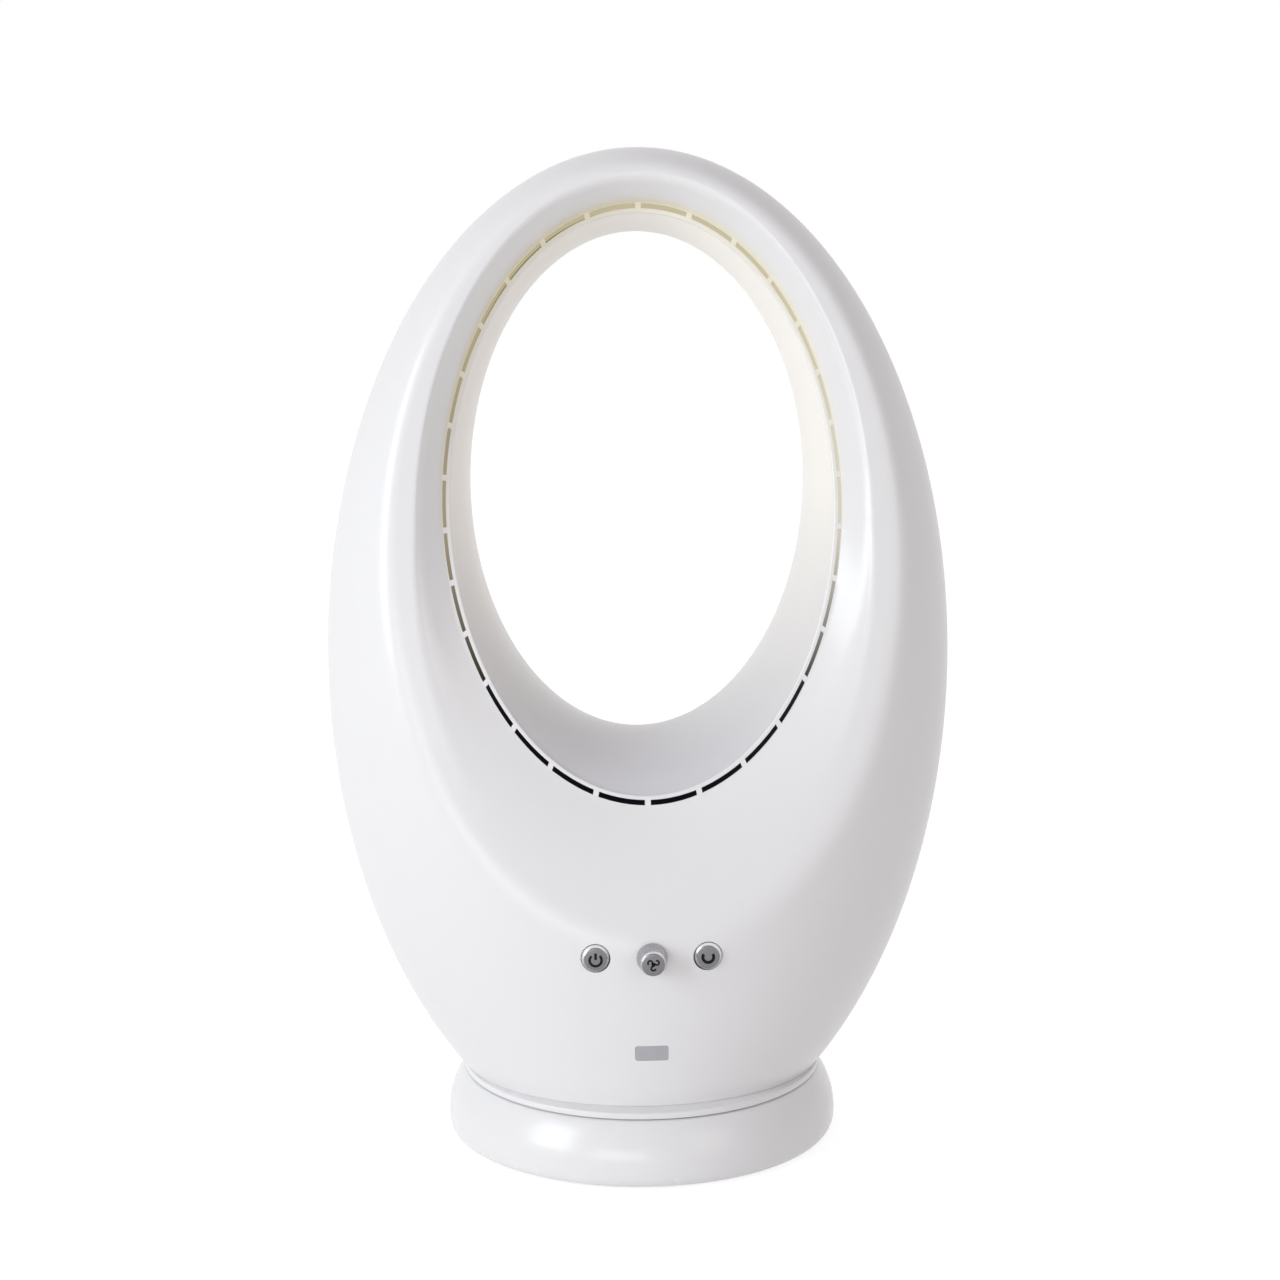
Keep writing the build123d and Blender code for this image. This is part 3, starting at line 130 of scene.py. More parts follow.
class FanColours(bpy.types.PropertyGroup):
    shell: colour("Shell", "Gloss white of the shells and the foot", (0.84, 0.84, 0.845))
    # ivory tint of the upper duct, brightened beyond the shell's white as painted light
    lit_ivory: colour("Warm white", "Ivory tint of the upper duct", (0.96, 0.935, 0.875))
    # the duct's floor is painted a darker grey than the shell: painted shade
    shaded_duct_floor: colour("Duct floor", "White of the duct's floor", (0.67, 0.67, 0.69))
    # pale tint round the upper slots: a painted glow of the light that comes through them
    painted_slot_glow: colour("Slot halo", "Thin land round the upper slots", (0.86, 0.82, 0.68))
    # a dark base that is painted shade on the inside of the shells
    inside: colour("Inside", "Unpainted inside of the shells", (0.10, 0.09, 0.07))
    # emitted colours of the chamber behind the slots: painted light at the top and sides, painted shade at
    # the foot
    painted_glow_left: colour("Glow left", "Air chamber behind the left slots", (0.31, 0.27, 0.19))
    painted_glow_right: colour("Glow right", "Air chamber behind the right slots", (0.60, 0.58, 0.50))
    painted_glow_top_left: colour("Crown left", "Air chamber behind the top slots, on the left", (0.42, 0.37, 0.23))
    painted_glow_top_right: colour("Crown right", "Air chamber behind the top slots, on the right", (0.52, 0.48, 0.36))
    painted_shade_low: colour("Glow low", "Air chamber behind the lowest slots", (0.002, 0.002, 0.006))
    button: colour("Button silver", "Front faces of the buttons and the knob", (0.185, 0.183, 0.193))
    knob_side: colour("Knob side", "Lighter silver round the knob", (0.42, 0.42, 0.45))
    # bright cut edge, partly the cut finish and partly a painted highlight
    cut_edge_highlight: colour("Cut edge", "Bright edge round the front faces", (0.78, 0.78, 0.80))
    window: colour("Window", "Smoked infrared window", (0.42, 0.42, 0.45))
    floor: colour("Floor", "Plain studio floor", (0.88, 0.88, 0.88))


def sizes():
    return bpy.context.scene.fan_sizes


def colours():
    return bpy.context.scene.fan_colours


# ------------------------------ the egg's surface
def ratio(z):
    """The egg's width at a height, as a share of its widest."""
    s = sizes()
    return sqrt(max(0.0, 1 - ((z - s.centre_z) / s.half_height) ** 2))


def half_width(z):
    return sizes().half_width * ratio(z)


def depth(z, middle, neck, power):
    """The egg's depth at a height, from its depths at the widest place and at the neck."""
    s = sizes()
    if z > s.centre_z:
        return middle * ratio(z)
    fall = (s.centre_z - z) / (s.centre_z - s.neck_z)
    return middle + (neck - middle) * fall ** power


def soft_max(a, b, soft):
    """The larger of two values, rounded over where they differ by less than soft."""
    near = max(soft - abs(a - b), 0.0) / soft
    return max(a, b) + near * near * soft / 4


def across(x, z):
    """How deep the egg is at x, as a share of its depth in the middle."""
    return sqrt(max(0.0, 1 - (x / max(half_width(z), 1e-6)) ** 2))


def front_y(x, z):
    """The front: the belly, cut back by the land round the funnel."""
    s = sizes()
    below = max(0.0, s.land_z - z)
    land = s.land_y + LAND_SLOPE * (s.land_z - z) + LAND_CURL * below ** 2
    belly = depth(z, s.front_depth, s.front_neck, BELLY_POWER) * across(x, z)
    return soft_max(-belly, -land, s.edge_softness)


def rear_y(x, z):
    s = sizes()
    return depth(z, s.rear_depth, s.rear_neck, BACK_POWER) * across(x, z)


def crest_point(x, cone, z):
    """A point of the front, where the funnel's cone at y = cone meets it in a soft crest that grows
    rounder towards the top."""
    growth = CREST_GROWTH * min(1.0, max(0.0, (z - CREST_FROM) / CREST_SPAN))
    return Vector((x, soft_max(front_y(x, z), cone, sizes().crest_softness * (1 + growth)), z))


def outline_point(angle):
    """(x, z) of the egg's outline, or of its lower edge, that goes with an angle round the mouth, and
    True where it lies on that edge."""
    s = sizes()
    side = 1 if cos(angle) >= 0 else -1
    turn = asin(max(-1.0, min(1.0, sin(angle))))
    edge_z = s.neck_z + s.hem
    if turn < NECK_ANGLE:
        x = half_width(s.neck_z) * (turn + pi / 2) / (NECK_ANGLE + pi / 2)
        return side * x, edge_z, True
    neck = asin((s.neck_z - s.centre_z) / s.half_height)
    turn = neck + (turn - NECK_ANGLE) * (pi / 2 - neck) / (pi / 2 - NECK_ANGLE)
    z = max(s.centre_z + s.half_height * sin(turn), edge_z)
    return side * half_width(z), z, False


def hem_point(point):
    """Where the wall goes on from the lower edge, rounded in to the turntable."""
    s = sizes()
    share = 1 - s.hem / hypot(point.x, point.y)
    return Vector((point.x * share, point.y * share, s.neck_z))


# ------------------------------ ovals of the duct
class Oval:
    """A leaning ellipse between its lowest and highest (y, z)."""

    def __init__(self, half, low, high):
        self.half = half
        self.rise = hypot(high[0] - low[0], high[1] - low[1]) / 2
        self.up = Vector((0, high[0] - low[0], high[1] - low[1])).normalized()
        self.middle = Vector((0, (low[0] + high[0]) / 2, (low[1] + high[1]) / 2))
        self.behind = Vector((0, self.up.z, -self.up.y))

    def at(self, angle, grow=0.0, back=0.0, share=1.0):
        return (self.middle + Vector(((self.half * share + grow) * cos(angle), 0, 0))
                + self.up * (self.rise * share + grow) * sin(angle) + self.behind * back)


def slot_oval():
    return Oval(sizes().slot_half_width, *SLOT_ENDS)


def duct_point(angle, u, grow):
    """A point of the duct's wall, grown outwards: a smooth curve through its four ovals."""
    s = sizes()
    ovals = [Oval(s.throat_half_width, *THROAT_ENDS), Oval(FLARE_HALF, *FLARE_ENDS),
             Oval(EXIT_HALF, *EXIT_ENDS)]
    points = [slot_oval().at(angle, grow - FLANGE_LIP, s.flange)] + [o.at(angle, grow) for o in ovals]
    total = Vector()
    for i, point in enumerate(points):
        weight = 1.0
        for j, knot in enumerate(DUCT_KNOTS):
            if j != i:
                weight *= (u - knot) / (DUCT_KNOTS[i] - knot)
        total += point * weight
    return total


def duct_exit(angle, grow):
    """Where the duct's wall meets the back of the egg, as a share of the curve, found by halving."""
    low, high, halvings = 0.45, 1.0, 30
    for _ in range(halvings):
        middle = (low + high) / 2
        p = duct_point(angle, middle, grow)
        if p.y < rear_y(p.x, p.z):
            low = middle
        else:
            high = middle
    return low


def ring_angles():
    return [TURN * c / RING_COLUMNS - pi / 2 for c in range(RING_COLUMNS)]


def slot_columns():
    """Angles round the ring of slots, with a column at each end of every slot and at equal distances
    along it. Returns (angle, True where the cell after it is open)."""
    s, oval, steps = sizes(), slot_oval(), 7200
    run = [0.0]                         # the way along the ring, step by step
    for i in range(steps):
        a, b = TURN * i / steps, TURN * (i + 1) / steps
        run.append(run[-1] + hypot(oval.half * (sin(b) - sin(a)), oval.rise * (cos(b) - cos(a))))
    pitch = run[-1] / s.slots
    open_run = pitch - s.bridge
    marks = []
    for k in range(s.slots):
        start = k * pitch
        marks += [(start - s.bridge / 2, False), (start, False)]
        marks += [(start + s.bridge / 2 + open_run * i / SLOT_CELLS, True) for i in range(SLOT_CELLS)]
    columns = []
    for mark, is_open in marks:
        mark += run[-1] if mark < 0 else 0.0
        i = bisect_left(run, mark, 1) - 1
        share = (mark - run[i]) / (run[i + 1] - run[i])
        columns.append((TURN * (i + share) / steps - pi / 2, is_open))
    return columns


def skin_shares(count, power):
    """Shares of the way over the skin, closer together at both ends."""
    return [1 - (1 - (i / count) ** power) ** 2 for i in range(1, count + 1)]


# ------------------------------ making pieces
def ring_surface(columns, rows, place):
    """A closed band of quads, column by row: place(column, row) gives each point."""
    bm = bmesh.new()
    bmesh.ops.create_grid(bm, x_segments=columns, y_segments=rows - 1, size=1.0)
    for v in bm.verts:
        column = round((v.co.x + 1) / 2 * columns)
        row = round((v.co.y + 1) / 2 * (rows - 1))
        v.co = place(column % columns, row)
    bmesh.ops.remove_doubles(bm, verts=bm.verts, dist=SAME_POINT)
    return bm


def turn_faces(bm, way, facing):
    """Makes all faces agree, so that the one that lies farthest along a way looks towards facing."""
    bmesh.ops.recalc_face_normals(bm, faces=bm.faces)
    last = max(bm.faces, key=lambda f: f.calc_center_median().dot(way))
    if last.normal.dot(facing) < 0:
        bmesh.ops.reverse_faces(bm, faces=bm.faces)


def spun(profile, steps, upright=True, centre=(0, 0, 0), closed=True, angle=TURN):
    """Turns a profile of (radius, place along the axis) points about Z, or about Y."""
    bm = bmesh.new()
    verts = [bm.verts.new((r, 0, h) if upright else (r, h, 0)) for r, h in profile]
    pairs = list(zip(verts, verts[1:])) + ([(verts[-1], verts[0])] if closed else [])
    edges = [bm.edges.new(p) for p in pairs]
    bmesh.ops.spin(bm, geom=verts + edges, cent=(0, 0, 0), axis=UP if upright else BACK, dvec=(0, 0, 0),
                   angle=angle, steps=steps, use_merge=angle == TURN)
    bmesh.ops.remove_doubles(bm, verts=bm.verts, dist=SAME_POINT)
    bmesh.ops.translate(bm, verts=bm.verts, vec=centre)
    bmesh.ops.recalc_face_normals(bm, faces=bm.faces)
    return bm


def box(size, centre):
    bm = bmesh.new()
    bmesh.ops.create_cube(bm, size=1.0)
    bmesh.ops.scale(bm, verts=bm.verts, vec=size)
    bmesh.ops.translate(bm, verts=bm.verts, vec=centre)
    return bm


def printed_arc(x, y, z, radius, width, start, sweep):
    """A flat printed arc on a round face that looks forward."""
    inner, outer = radius - width / 2, radius + width / 2
    bm = spun([(inner, -PRINT_LIFT), (outer, -PRINT_LIFT), (outer, PRINT_LIFT), (inner, PRINT_LIFT)],
              steps=40, upright=False, angle=sweep)
    bmesh.ops.holes_fill(bm, edges=[e for e in bm.edges if e.is_boundary])
    bmesh.ops.rotate(bm, verts=bm.verts, cent=(0, 0, 0), matrix=Matrix.Rotation(-start, 3, "Y"))
    bmesh.ops.translate(bm, verts=bm.verts, vec=(x, y, z))
    bmesh.ops.recalc_face_normals(bm, faces=bm.faces)
    return bm


def new_object(name, bm):
    """Links an object that holds the bmesh and stands at the origin."""
    mesh = bpy.data.meshes.new(name)
    bm.to_mesh(mesh)
    bm.free()
    obj = bpy.data.objects.new(name, mesh)
    bpy.context.scene.collection.objects.link(obj)
    return obj


def cutter(bm):
    bmesh.ops.recalc_face_normals(bm, faces=bm.faces)
    return new_object("cutter", bm)


def round_cutter(radius, y0, y1, x, z):
    profile = [(0, y0), (radius, y0), (radius, y1), (0, y1)]
    return cutter(spun(profile, steps=96, upright=False, centre=(x, 0, z), closed=False))


def plate_cutter(half_x, low, high, corner, y0, y1):
    """A rounded rectangle seen from the front, running along Y."""
    bm = box((2 * half_x, y1 - y0, high - low), (0, (y0 + y1) / 2, (low + high) / 2))
    along = [e for e in bm.edges if abs(e.verts[0].co.y - e.verts[1].co.y) > (y1 - y0) / 2]
    bmesh.ops.bevel(bm, geom=along, offset=corner, offset_type="OFFSET", affect="EDGES", segments=10,
                    profile=0.5, material=-1)
    return cutter(bm)


def add_wall(obj, thickness):
    """Thickens a surface inwards; its new side takes the second material."""
    solid = obj.modifiers.new("wall", "SOLIDIFY")
    solid.thickness = thickness
    solid.offset = -1
    solid.use_even_offset = False
    solid.material_offset = 1
    solid.material_offset_rim = 0


def add_opening(obj, tool):
    cut = obj.modifiers.new("opening", "BOOLEAN")
    cut.operation = "DIFFERENCE"
    cut.solver = "EXACT"
    cut.object = tool
    cut.material_mode = "INDEX"


def settle(obj):
    """Puts what the modifiers make into the object's own mesh."""
    settled = bpy.data.meshes.new_from_object(obj.evaluated_get(bpy.context.evaluated_depsgraph_get()))
    obj.modifiers.clear()
    obj.data = settled
    settled.name = obj.name


def shade(mesh):
    """Smooth faces, but for the edges that turn sharply."""
    bm = bmesh.new()
    bm.from_mesh(mesh)
    for face in bm.faces:
        face.smooth = True
    for edge in bm.edges:
        edge.smooth = not (len(edge.link_faces) == 2 and edge.calc_face_angle(0.0) > EDGE_ANGLE)
    bm.to_mesh(mesh)
    bm.free()


def piece(name, bm, material, body, replaces=(), wall=0.0, inside=None, cutters=()):
    """Makes the finished object of a bmesh and ties it to the frame."""
    obj = new_object(name, bm)
    obj.data.materials.append(material)
    if wall:
        obj.data.materials.append(inside)
        add_wall(obj, wall)
    for tool in cutters:
        add_opening(obj, tool)
    if wall or cutters:
        settle(obj)
    shade(obj.data)
    for tool in cutters:
        mesh = tool.data
        bpy.data.objects.remove(tool)
        bpy.data.meshes.remove(mesh)
    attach(obj, body)
    if replaces:
        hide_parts(*replaces)


# ------------------------------ finishes
class Value:
    """A node's output socket. Sums on one that carries a number add Math nodes."""

    def __init__(self, owner, socket):
        self.owner, self.socket = owner, socket

    def _math(self, operation, first, second):
        return self.owner.node("ShaderNodeMath", {"operation": operation}, {0: first, 1: second})

    def __add__(self, other):
        return self._math("ADD", self, other)

    def __sub__(self, other):
        return self._math("SUBTRACT", self, other)

    def __rsub__(self, other):
        return self._math("SUBTRACT", other, self)

    def __mul__(self, other):
        return self._math("MULTIPLY", self, other)

    def __truediv__(self, other):
        return self._math("DIVIDE", self, other)

    def __rtruediv__(self, other):
        return self._math("DIVIDE", other, self)

    __radd__, __rmul__ = __add__, __mul__


class Tree:
    """A node tree that is built node by node."""

    def __init__(self, tree):
        self.tree = tree

    def node(self, kind, settings, inputs, output=0):
        """Adds a node: its settings, a ramp's stops among them, then its sockets' values or links."""
        made = self.tree.nodes.new(kind)
        for key, value in settings.items():
            if key == "stops":
                self.fill(made.color_ramp.elements, value)
            else:
                setattr(made, key, value)
        for key, value in inputs.items():
            if isinstance(value, Value):
                self.tree.links.new(value.socket, made.inputs[key])
            else:
                made.inputs[key].default_value = value
        return Value(self, made.outputs[output])

    @staticmethod
    def fill(elements, stops):
        for i, (place, tone) in enumerate(stops):
            stop = elements[i] if i < len(elements) else elements.new(place)
            stop.position, stop.color = place, (*tone, 1.0)

    def blend(self, share, first, second):
        """Mixes two colours; each is a plain colour or a linked one."""
        def full(c):
            return c if isinstance(c, Value) else (*tuple(c)[:3], 1.0)
        return self.node("ShaderNodeMix", {"data_type": "RGBA"},
                         {0: share, 6: full(first), 7: full(second)}, 2)

    def seen(self):
        """1 for what the camera sees itself, in a mirror or through glass."""
        rays = [self.node("ShaderNodeLightPath", {}, {}, name)
                for name in ("Is Camera Ray", "Is Glossy Ray", "Is Transmission Ray")]
        return self.node("ShaderNodeClamp", {}, {0: rays[0] + rays[1] + rays[2]})


class Finish(Tree):
    """A material built on one Principled shader."""

    def __init__(self, name, **constants):
        self.material = bpy.data.materials.new(name)
        self.material.use_nodes = True
        super().__init__(self.material.node_tree)
        self.shader = self.tree.nodes["Principled BSDF"]
        for key, value in constants.items():
            self.shader.inputs[key.replace("_", " ")].default_value = value
        self.place = self.node("ShaderNodeTexCoord", {}, {}, "Object")

    def noise(self, scale, detail=2.0):
        return self.node("ShaderNodeTexNoise", {}, {"Vector": self.place, "Scale": scale, "Detail": detail})

    def along(self, axis):
        return self.node("ShaderNodeSeparateXYZ", {}, {"Vector": self.place}, axis)

    def ramp(self, value, low, high):
        return self.node("ShaderNodeMapRange", {"clamp": True},
                         {"Value": value, "From Min": low, "From Max": high})

    def bump(self, height, strength, distance):
        return self.node("ShaderNodeBump", {}, {"Strength": strength, "Distance": distance,
                                                "Height": height})

    def set(self, **values):
        for key, value in values.items():
            self.tree.links.new(value.socket, self.shader.inputs[key.replace("_", " ")])
        return self.material


def shaded(c, factor):
    return tuple(min(1.0, v * factor) for v in c)


FINISHES = {}


def finish(name):
    """The named finish, made when it is first asked for."""
    if name not in FINISHES:
        FINISHES[name] = MAKERS[name]()
    return FINISHES[name]


def gloss_white(name, tone, rough=0.32, painted_slot_glow=None, ivory_and_light=None, ivory_and_light_z=None):
    """Gloss white with a faint cloud. Where they are given, a painted glow goes round the upper slots, and
    between two heights the tone turns into an ivory that is brightened as painted light."""
    f = Finish(name, IOR=1.5, Coat_Weight=0.12, Coat_Roughness=0.12)
    cloud = f.noise(9.0, detail=3.0)
    base = f.blend(cloud, shaded(tone, 0.985), shaded(tone, 1.01))
    if painted_slot_glow is not None:
        # painted glow round the upper slots
        base = f.blend(painted_slot_glow_mask(f), base, painted_slot_glow)
    if ivory_and_light is not None:
        # between the two heights the base gives way to the ivory; on the duct this is painted shade below
        # and painted light above
        base = f.blend(f.ramp(f.along("Z"), *ivory_and_light_z), base, f.blend(cloud, shaded(ivory_and_light, 0.98), ivory_and_light))
    fine = f.noise(900.0)
    return f.set(Base_Color=base, Roughness=f.noise(35.0, detail=3.0) * 0.06 + (rough - 0.03),
                 Normal=f.bump(fine, strength=0.08, distance=0.05 * MM))


def painted_slot_glow_mask(f):
    """1 on the thin land round the upper slots, where a painted glow stands for the chamber's light shining
    through.
    """
    ring, near_ring, heights = 1.009, (0.030, 0.014), (0.30, 0.44)
    oval = slot_oval()
    aside, up = f.along("X") / oval.half, (f.along("Z") - oval.middle.z) / (oval.rise * oval.up.z)
    reach = f.node("ShaderNodeMath", {"operation": "SQRT"}, {0: aside * aside + up * up})
    away = f.node("ShaderNodeMath", {"operation": "ABSOLUTE"}, {0: reach - ring})
    return f.ramp(away, *near_ring) * f.ramp(f.along("Z"), *heights)


def painted_glow_inside(name="moulded inside with painted glow", rim=None):
    """The air chamber seen through the slots, painted as a glow in the emission: khaki light at the top,
    lighter on the right than on the left, and painted shade, near black, at the foot. The dark base colour
    is painted shade inside the shells. On the duct the glow fades out towards the rear rim, between two
    distances behind the axis that shrink with the height."""
    half_blend, top_glow_z, shade_to_glow_z, rim_lean = 0.08, (0.38, 0.47), (0.235, 0.33), 0.14
    f, c = Finish(name, Roughness=0.6, Emission_Strength=1.0), colours()
    side = f.ramp(f.along("X"), -half_blend, half_blend)
    # painted glow: lighter on the right, khaki at the top, near black at the foot
    painted_glow = f.blend(side, c.painted_glow_left, c.painted_glow_right)
    painted_top_glow = f.blend(side, c.painted_glow_top_left, c.painted_glow_top_right)
    painted_glow = f.blend(f.ramp(f.along("Z"), *top_glow_z), painted_glow, painted_top_glow)
    painted_glow = f.blend(f.ramp(f.along("Z"), *shade_to_glow_z), c.painted_shade_low, painted_glow)
    if rim is not None:
        painted_glow = f.blend(f.ramp(f.along("Y") + f.along("Z") * rim_lean, *rim), painted_glow, (0, 0, 0))
    grain = f.noise(120.0, detail=3.0)
    return f.set(Base_Color=f.blend(grain, shaded(c.inside, 0.85), c.inside), Emission_Color=painted_glow,
                 Normal=f.bump(f.noise(700.0), strength=0.15, distance=0.06 * MM))


def satin_silver():
    """Silver lacquer: dark front faces, bright cut edges and a lighter knob side. The edges' brightness is
    partly the cut finish and partly a painted highlight; below the control's middle, edges and side are
    darkened towards the face tone as painted shade.
    """
    c, middle, highlight_fade = colours(), sizes().control_z, 5 * MM
    f = Finish("satin silver", Metallic=0.85, Coat_Weight=0.15, Coat_Roughness=0.12)
    knob, button = -KNOB_REACH, -BUTTON_REACH
    first, last = knob, button + 4.0 * MM
    stops = [(knob + 0.2 * MM, c.button), (knob + 0.4 * MM, c.cut_edge_highlight),
             (knob + 1.5 * MM, c.cut_edge_highlight), (knob + 2.2 * MM, c.knob_side),
             (button - 0.7 * MM, c.knob_side), (button - 0.4 * MM, c.button),
             (button + 0.2 * MM, c.button), (button + 0.4 * MM, c.cut_edge_highlight),
             (button + 1.4 * MM, c.cut_edge_highlight), (button + 2.2 * MM, c.button)]
    places = [((y - first) / (last - first), tone) for y, tone in stops]
    tone = f.node("ShaderNodeValToRGB", {"stops": places}, {0: f.ramp(f.along("Y"), first, last)})
    # painted light: the upper half keeps the bright edges and side, the lower half is darkened as painted
    # shade
    height = f.ramp(f.along("Z"), middle - highlight_fade, middle + highlight_fade)
    base = f.blend(height, f.blend(0.75, tone, c.button), tone)
    flake = f.noise(4200.0, detail=1.0)
    base = f.blend(flake * 0.12, base, c.knob_side)
    return f.set(Base_Color=base, Roughness=f.noise(600.0) * 0.1 + 0.22,
                 Normal=f.bump(flake, strength=0.12, distance=0.02 * MM))


def plain(name, tone, rough, metal=0.0, grain=700.0, spread=0.12, bump=0.15, ior=1.5):
    """A moulded, cast or printed surface with a fine grain."""
    def make():
        f = Finish(name, Metallic=metal, IOR=ior)
        cloud = f.noise(grain / 12, detail=4.0)
        fine = f.noise(grain, detail=3.0)
        base = f.blend(cloud, shaded(tone, 1 - spread), shaded(tone, 1 + spread))
        return f.set(Base_Color=base, Roughness=fine * 0.16 + (rough - 0.08),
                     Normal=f.bump(fine, bump, distance=0.06 * MM))
    return make


def smoked_window():
    tone = colours().window
    f = Finish("smoked window", IOR=1.49, Coat_Weight=0.6, Coat_Roughness=0.05)
    cloud = f.noise(260.0)
    return f.set(Base_Color=f.blend(cloud, shaded(tone, 0.94), shaded(tone, 1.06)),
                 Roughness=f.noise(900.0) * 0.1 + 0.2,
                 Normal=f.bump(f.noise(1500.0), strength=0.05, distance=0.03 * MM))


def circuit_board():
    f = Finish("circuit board", IOR=1.5)
    tracks = f.node("ShaderNodeTexBrick", {"offset": 0.5}, {
        "Vector": f.place, "Scale": 160.0, "Mortar Size": 0.08, "Color1": (0.02, 0.13, 0.05, 1),
        "Color2": (0.03, 0.17, 0.07, 1), "Mortar": (0.05, 0.26, 0.11, 1)})
    return f.set(Base_Color=tracks, Roughness=f.noise(300.0) * 0.1 + 0.35,
                 Normal=f.bump(f.noise(800.0), strength=0.1, distance=0.04 * MM))


def lathe_steel(name, tone, rough):
    """Turned or stacked metal with fine rings."""
    def make():
        f = Finish(name, Metallic=1.0)
        rings = f.node("ShaderNodeTexWave", {"wave_type": "BANDS", "bands_direction": "Z"}, {
            "Vector": f.place, "Scale": 900.0, "Distortion": 1.5, "Detail": 2.0})
        base = f.blend(rings, shaded(tone, 0.9), shaded(tone, 1.08))
        return f.set(Base_Color=base, Roughness=f.noise(500.0) * 0.12 + rough,
                     Normal=f.bump(rings, strength=0.12, distance=0.02 * MM))
    return make


MAKERS = {
    "shell_white": lambda: gloss_white("gloss white shell", colours().shell),
    "front_white": lambda: gloss_white("gloss white front", colours().shell, painted_slot_glow=colours().painted_slot_glow),
    "foot_white": lambda: gloss_white("gloss white foot", colours().shell, rough=0.26),
    # duct: painted shade on the floor, rising with the height to an ivory that is partly its tint and
    # partly painted light
    "liner_white": lambda: gloss_white("gloss duct with painted shade and light", colours().shaded_duct_floor, ivory_and_light=colours().lit_ivory,
                                       ivory_and_light_z=(0.22, 0.36)),
    "inside": painted_glow_inside,
    "duct_inside": lambda: painted_glow_inside("moulded duct back with painted glow", rim=(0.100, 0.105)),
    "button_silver": satin_silver,
    "symbol": plain("printed symbol", (0.012, 0.012, 0.016), 0.7, grain=900.0, bump=0.05, ior=1.2),
    "window_grey": smoked_window,
    "inner_plastic": plain("black moulding", (0.035, 0.035, 0.038), 0.5),
    "impeller_plastic": plain("grey moulding", (0.48, 0.49, 0.50), 0.4),
    "circuit_board": circuit_board,
    "component_black": plain("component black", (0.02, 0.02, 0.022), 0.42),
    "steel": lathe_steel("machined steel", (0.55, 0.55, 0.56), 0.26),
    "iron": plain("raw iron", (0.09, 0.09, 0.095), 0.62, metal=0.8, spread=0.25, bump=0.4),
    "stator_steel": lathe_steel("laminated stack", (0.30, 0.22, 0.16), 0.4),
    "gear_plastic": plain("natural acetal", (0.74, 0.72, 0.66), 0.38),
    "rubber_black": plain("black rubber", (0.022, 0.022, 0.023), 0.75, spread=0.2, bump=0.3),
    "silicone_grey": plain("grey silicone", (0.32, 0.33, 0.34), 0.55),
    "motor_silver": plain("cast housing", (0.50, 0.50, 0.51), 0.38, metal=0.9, bump=0.25),
}


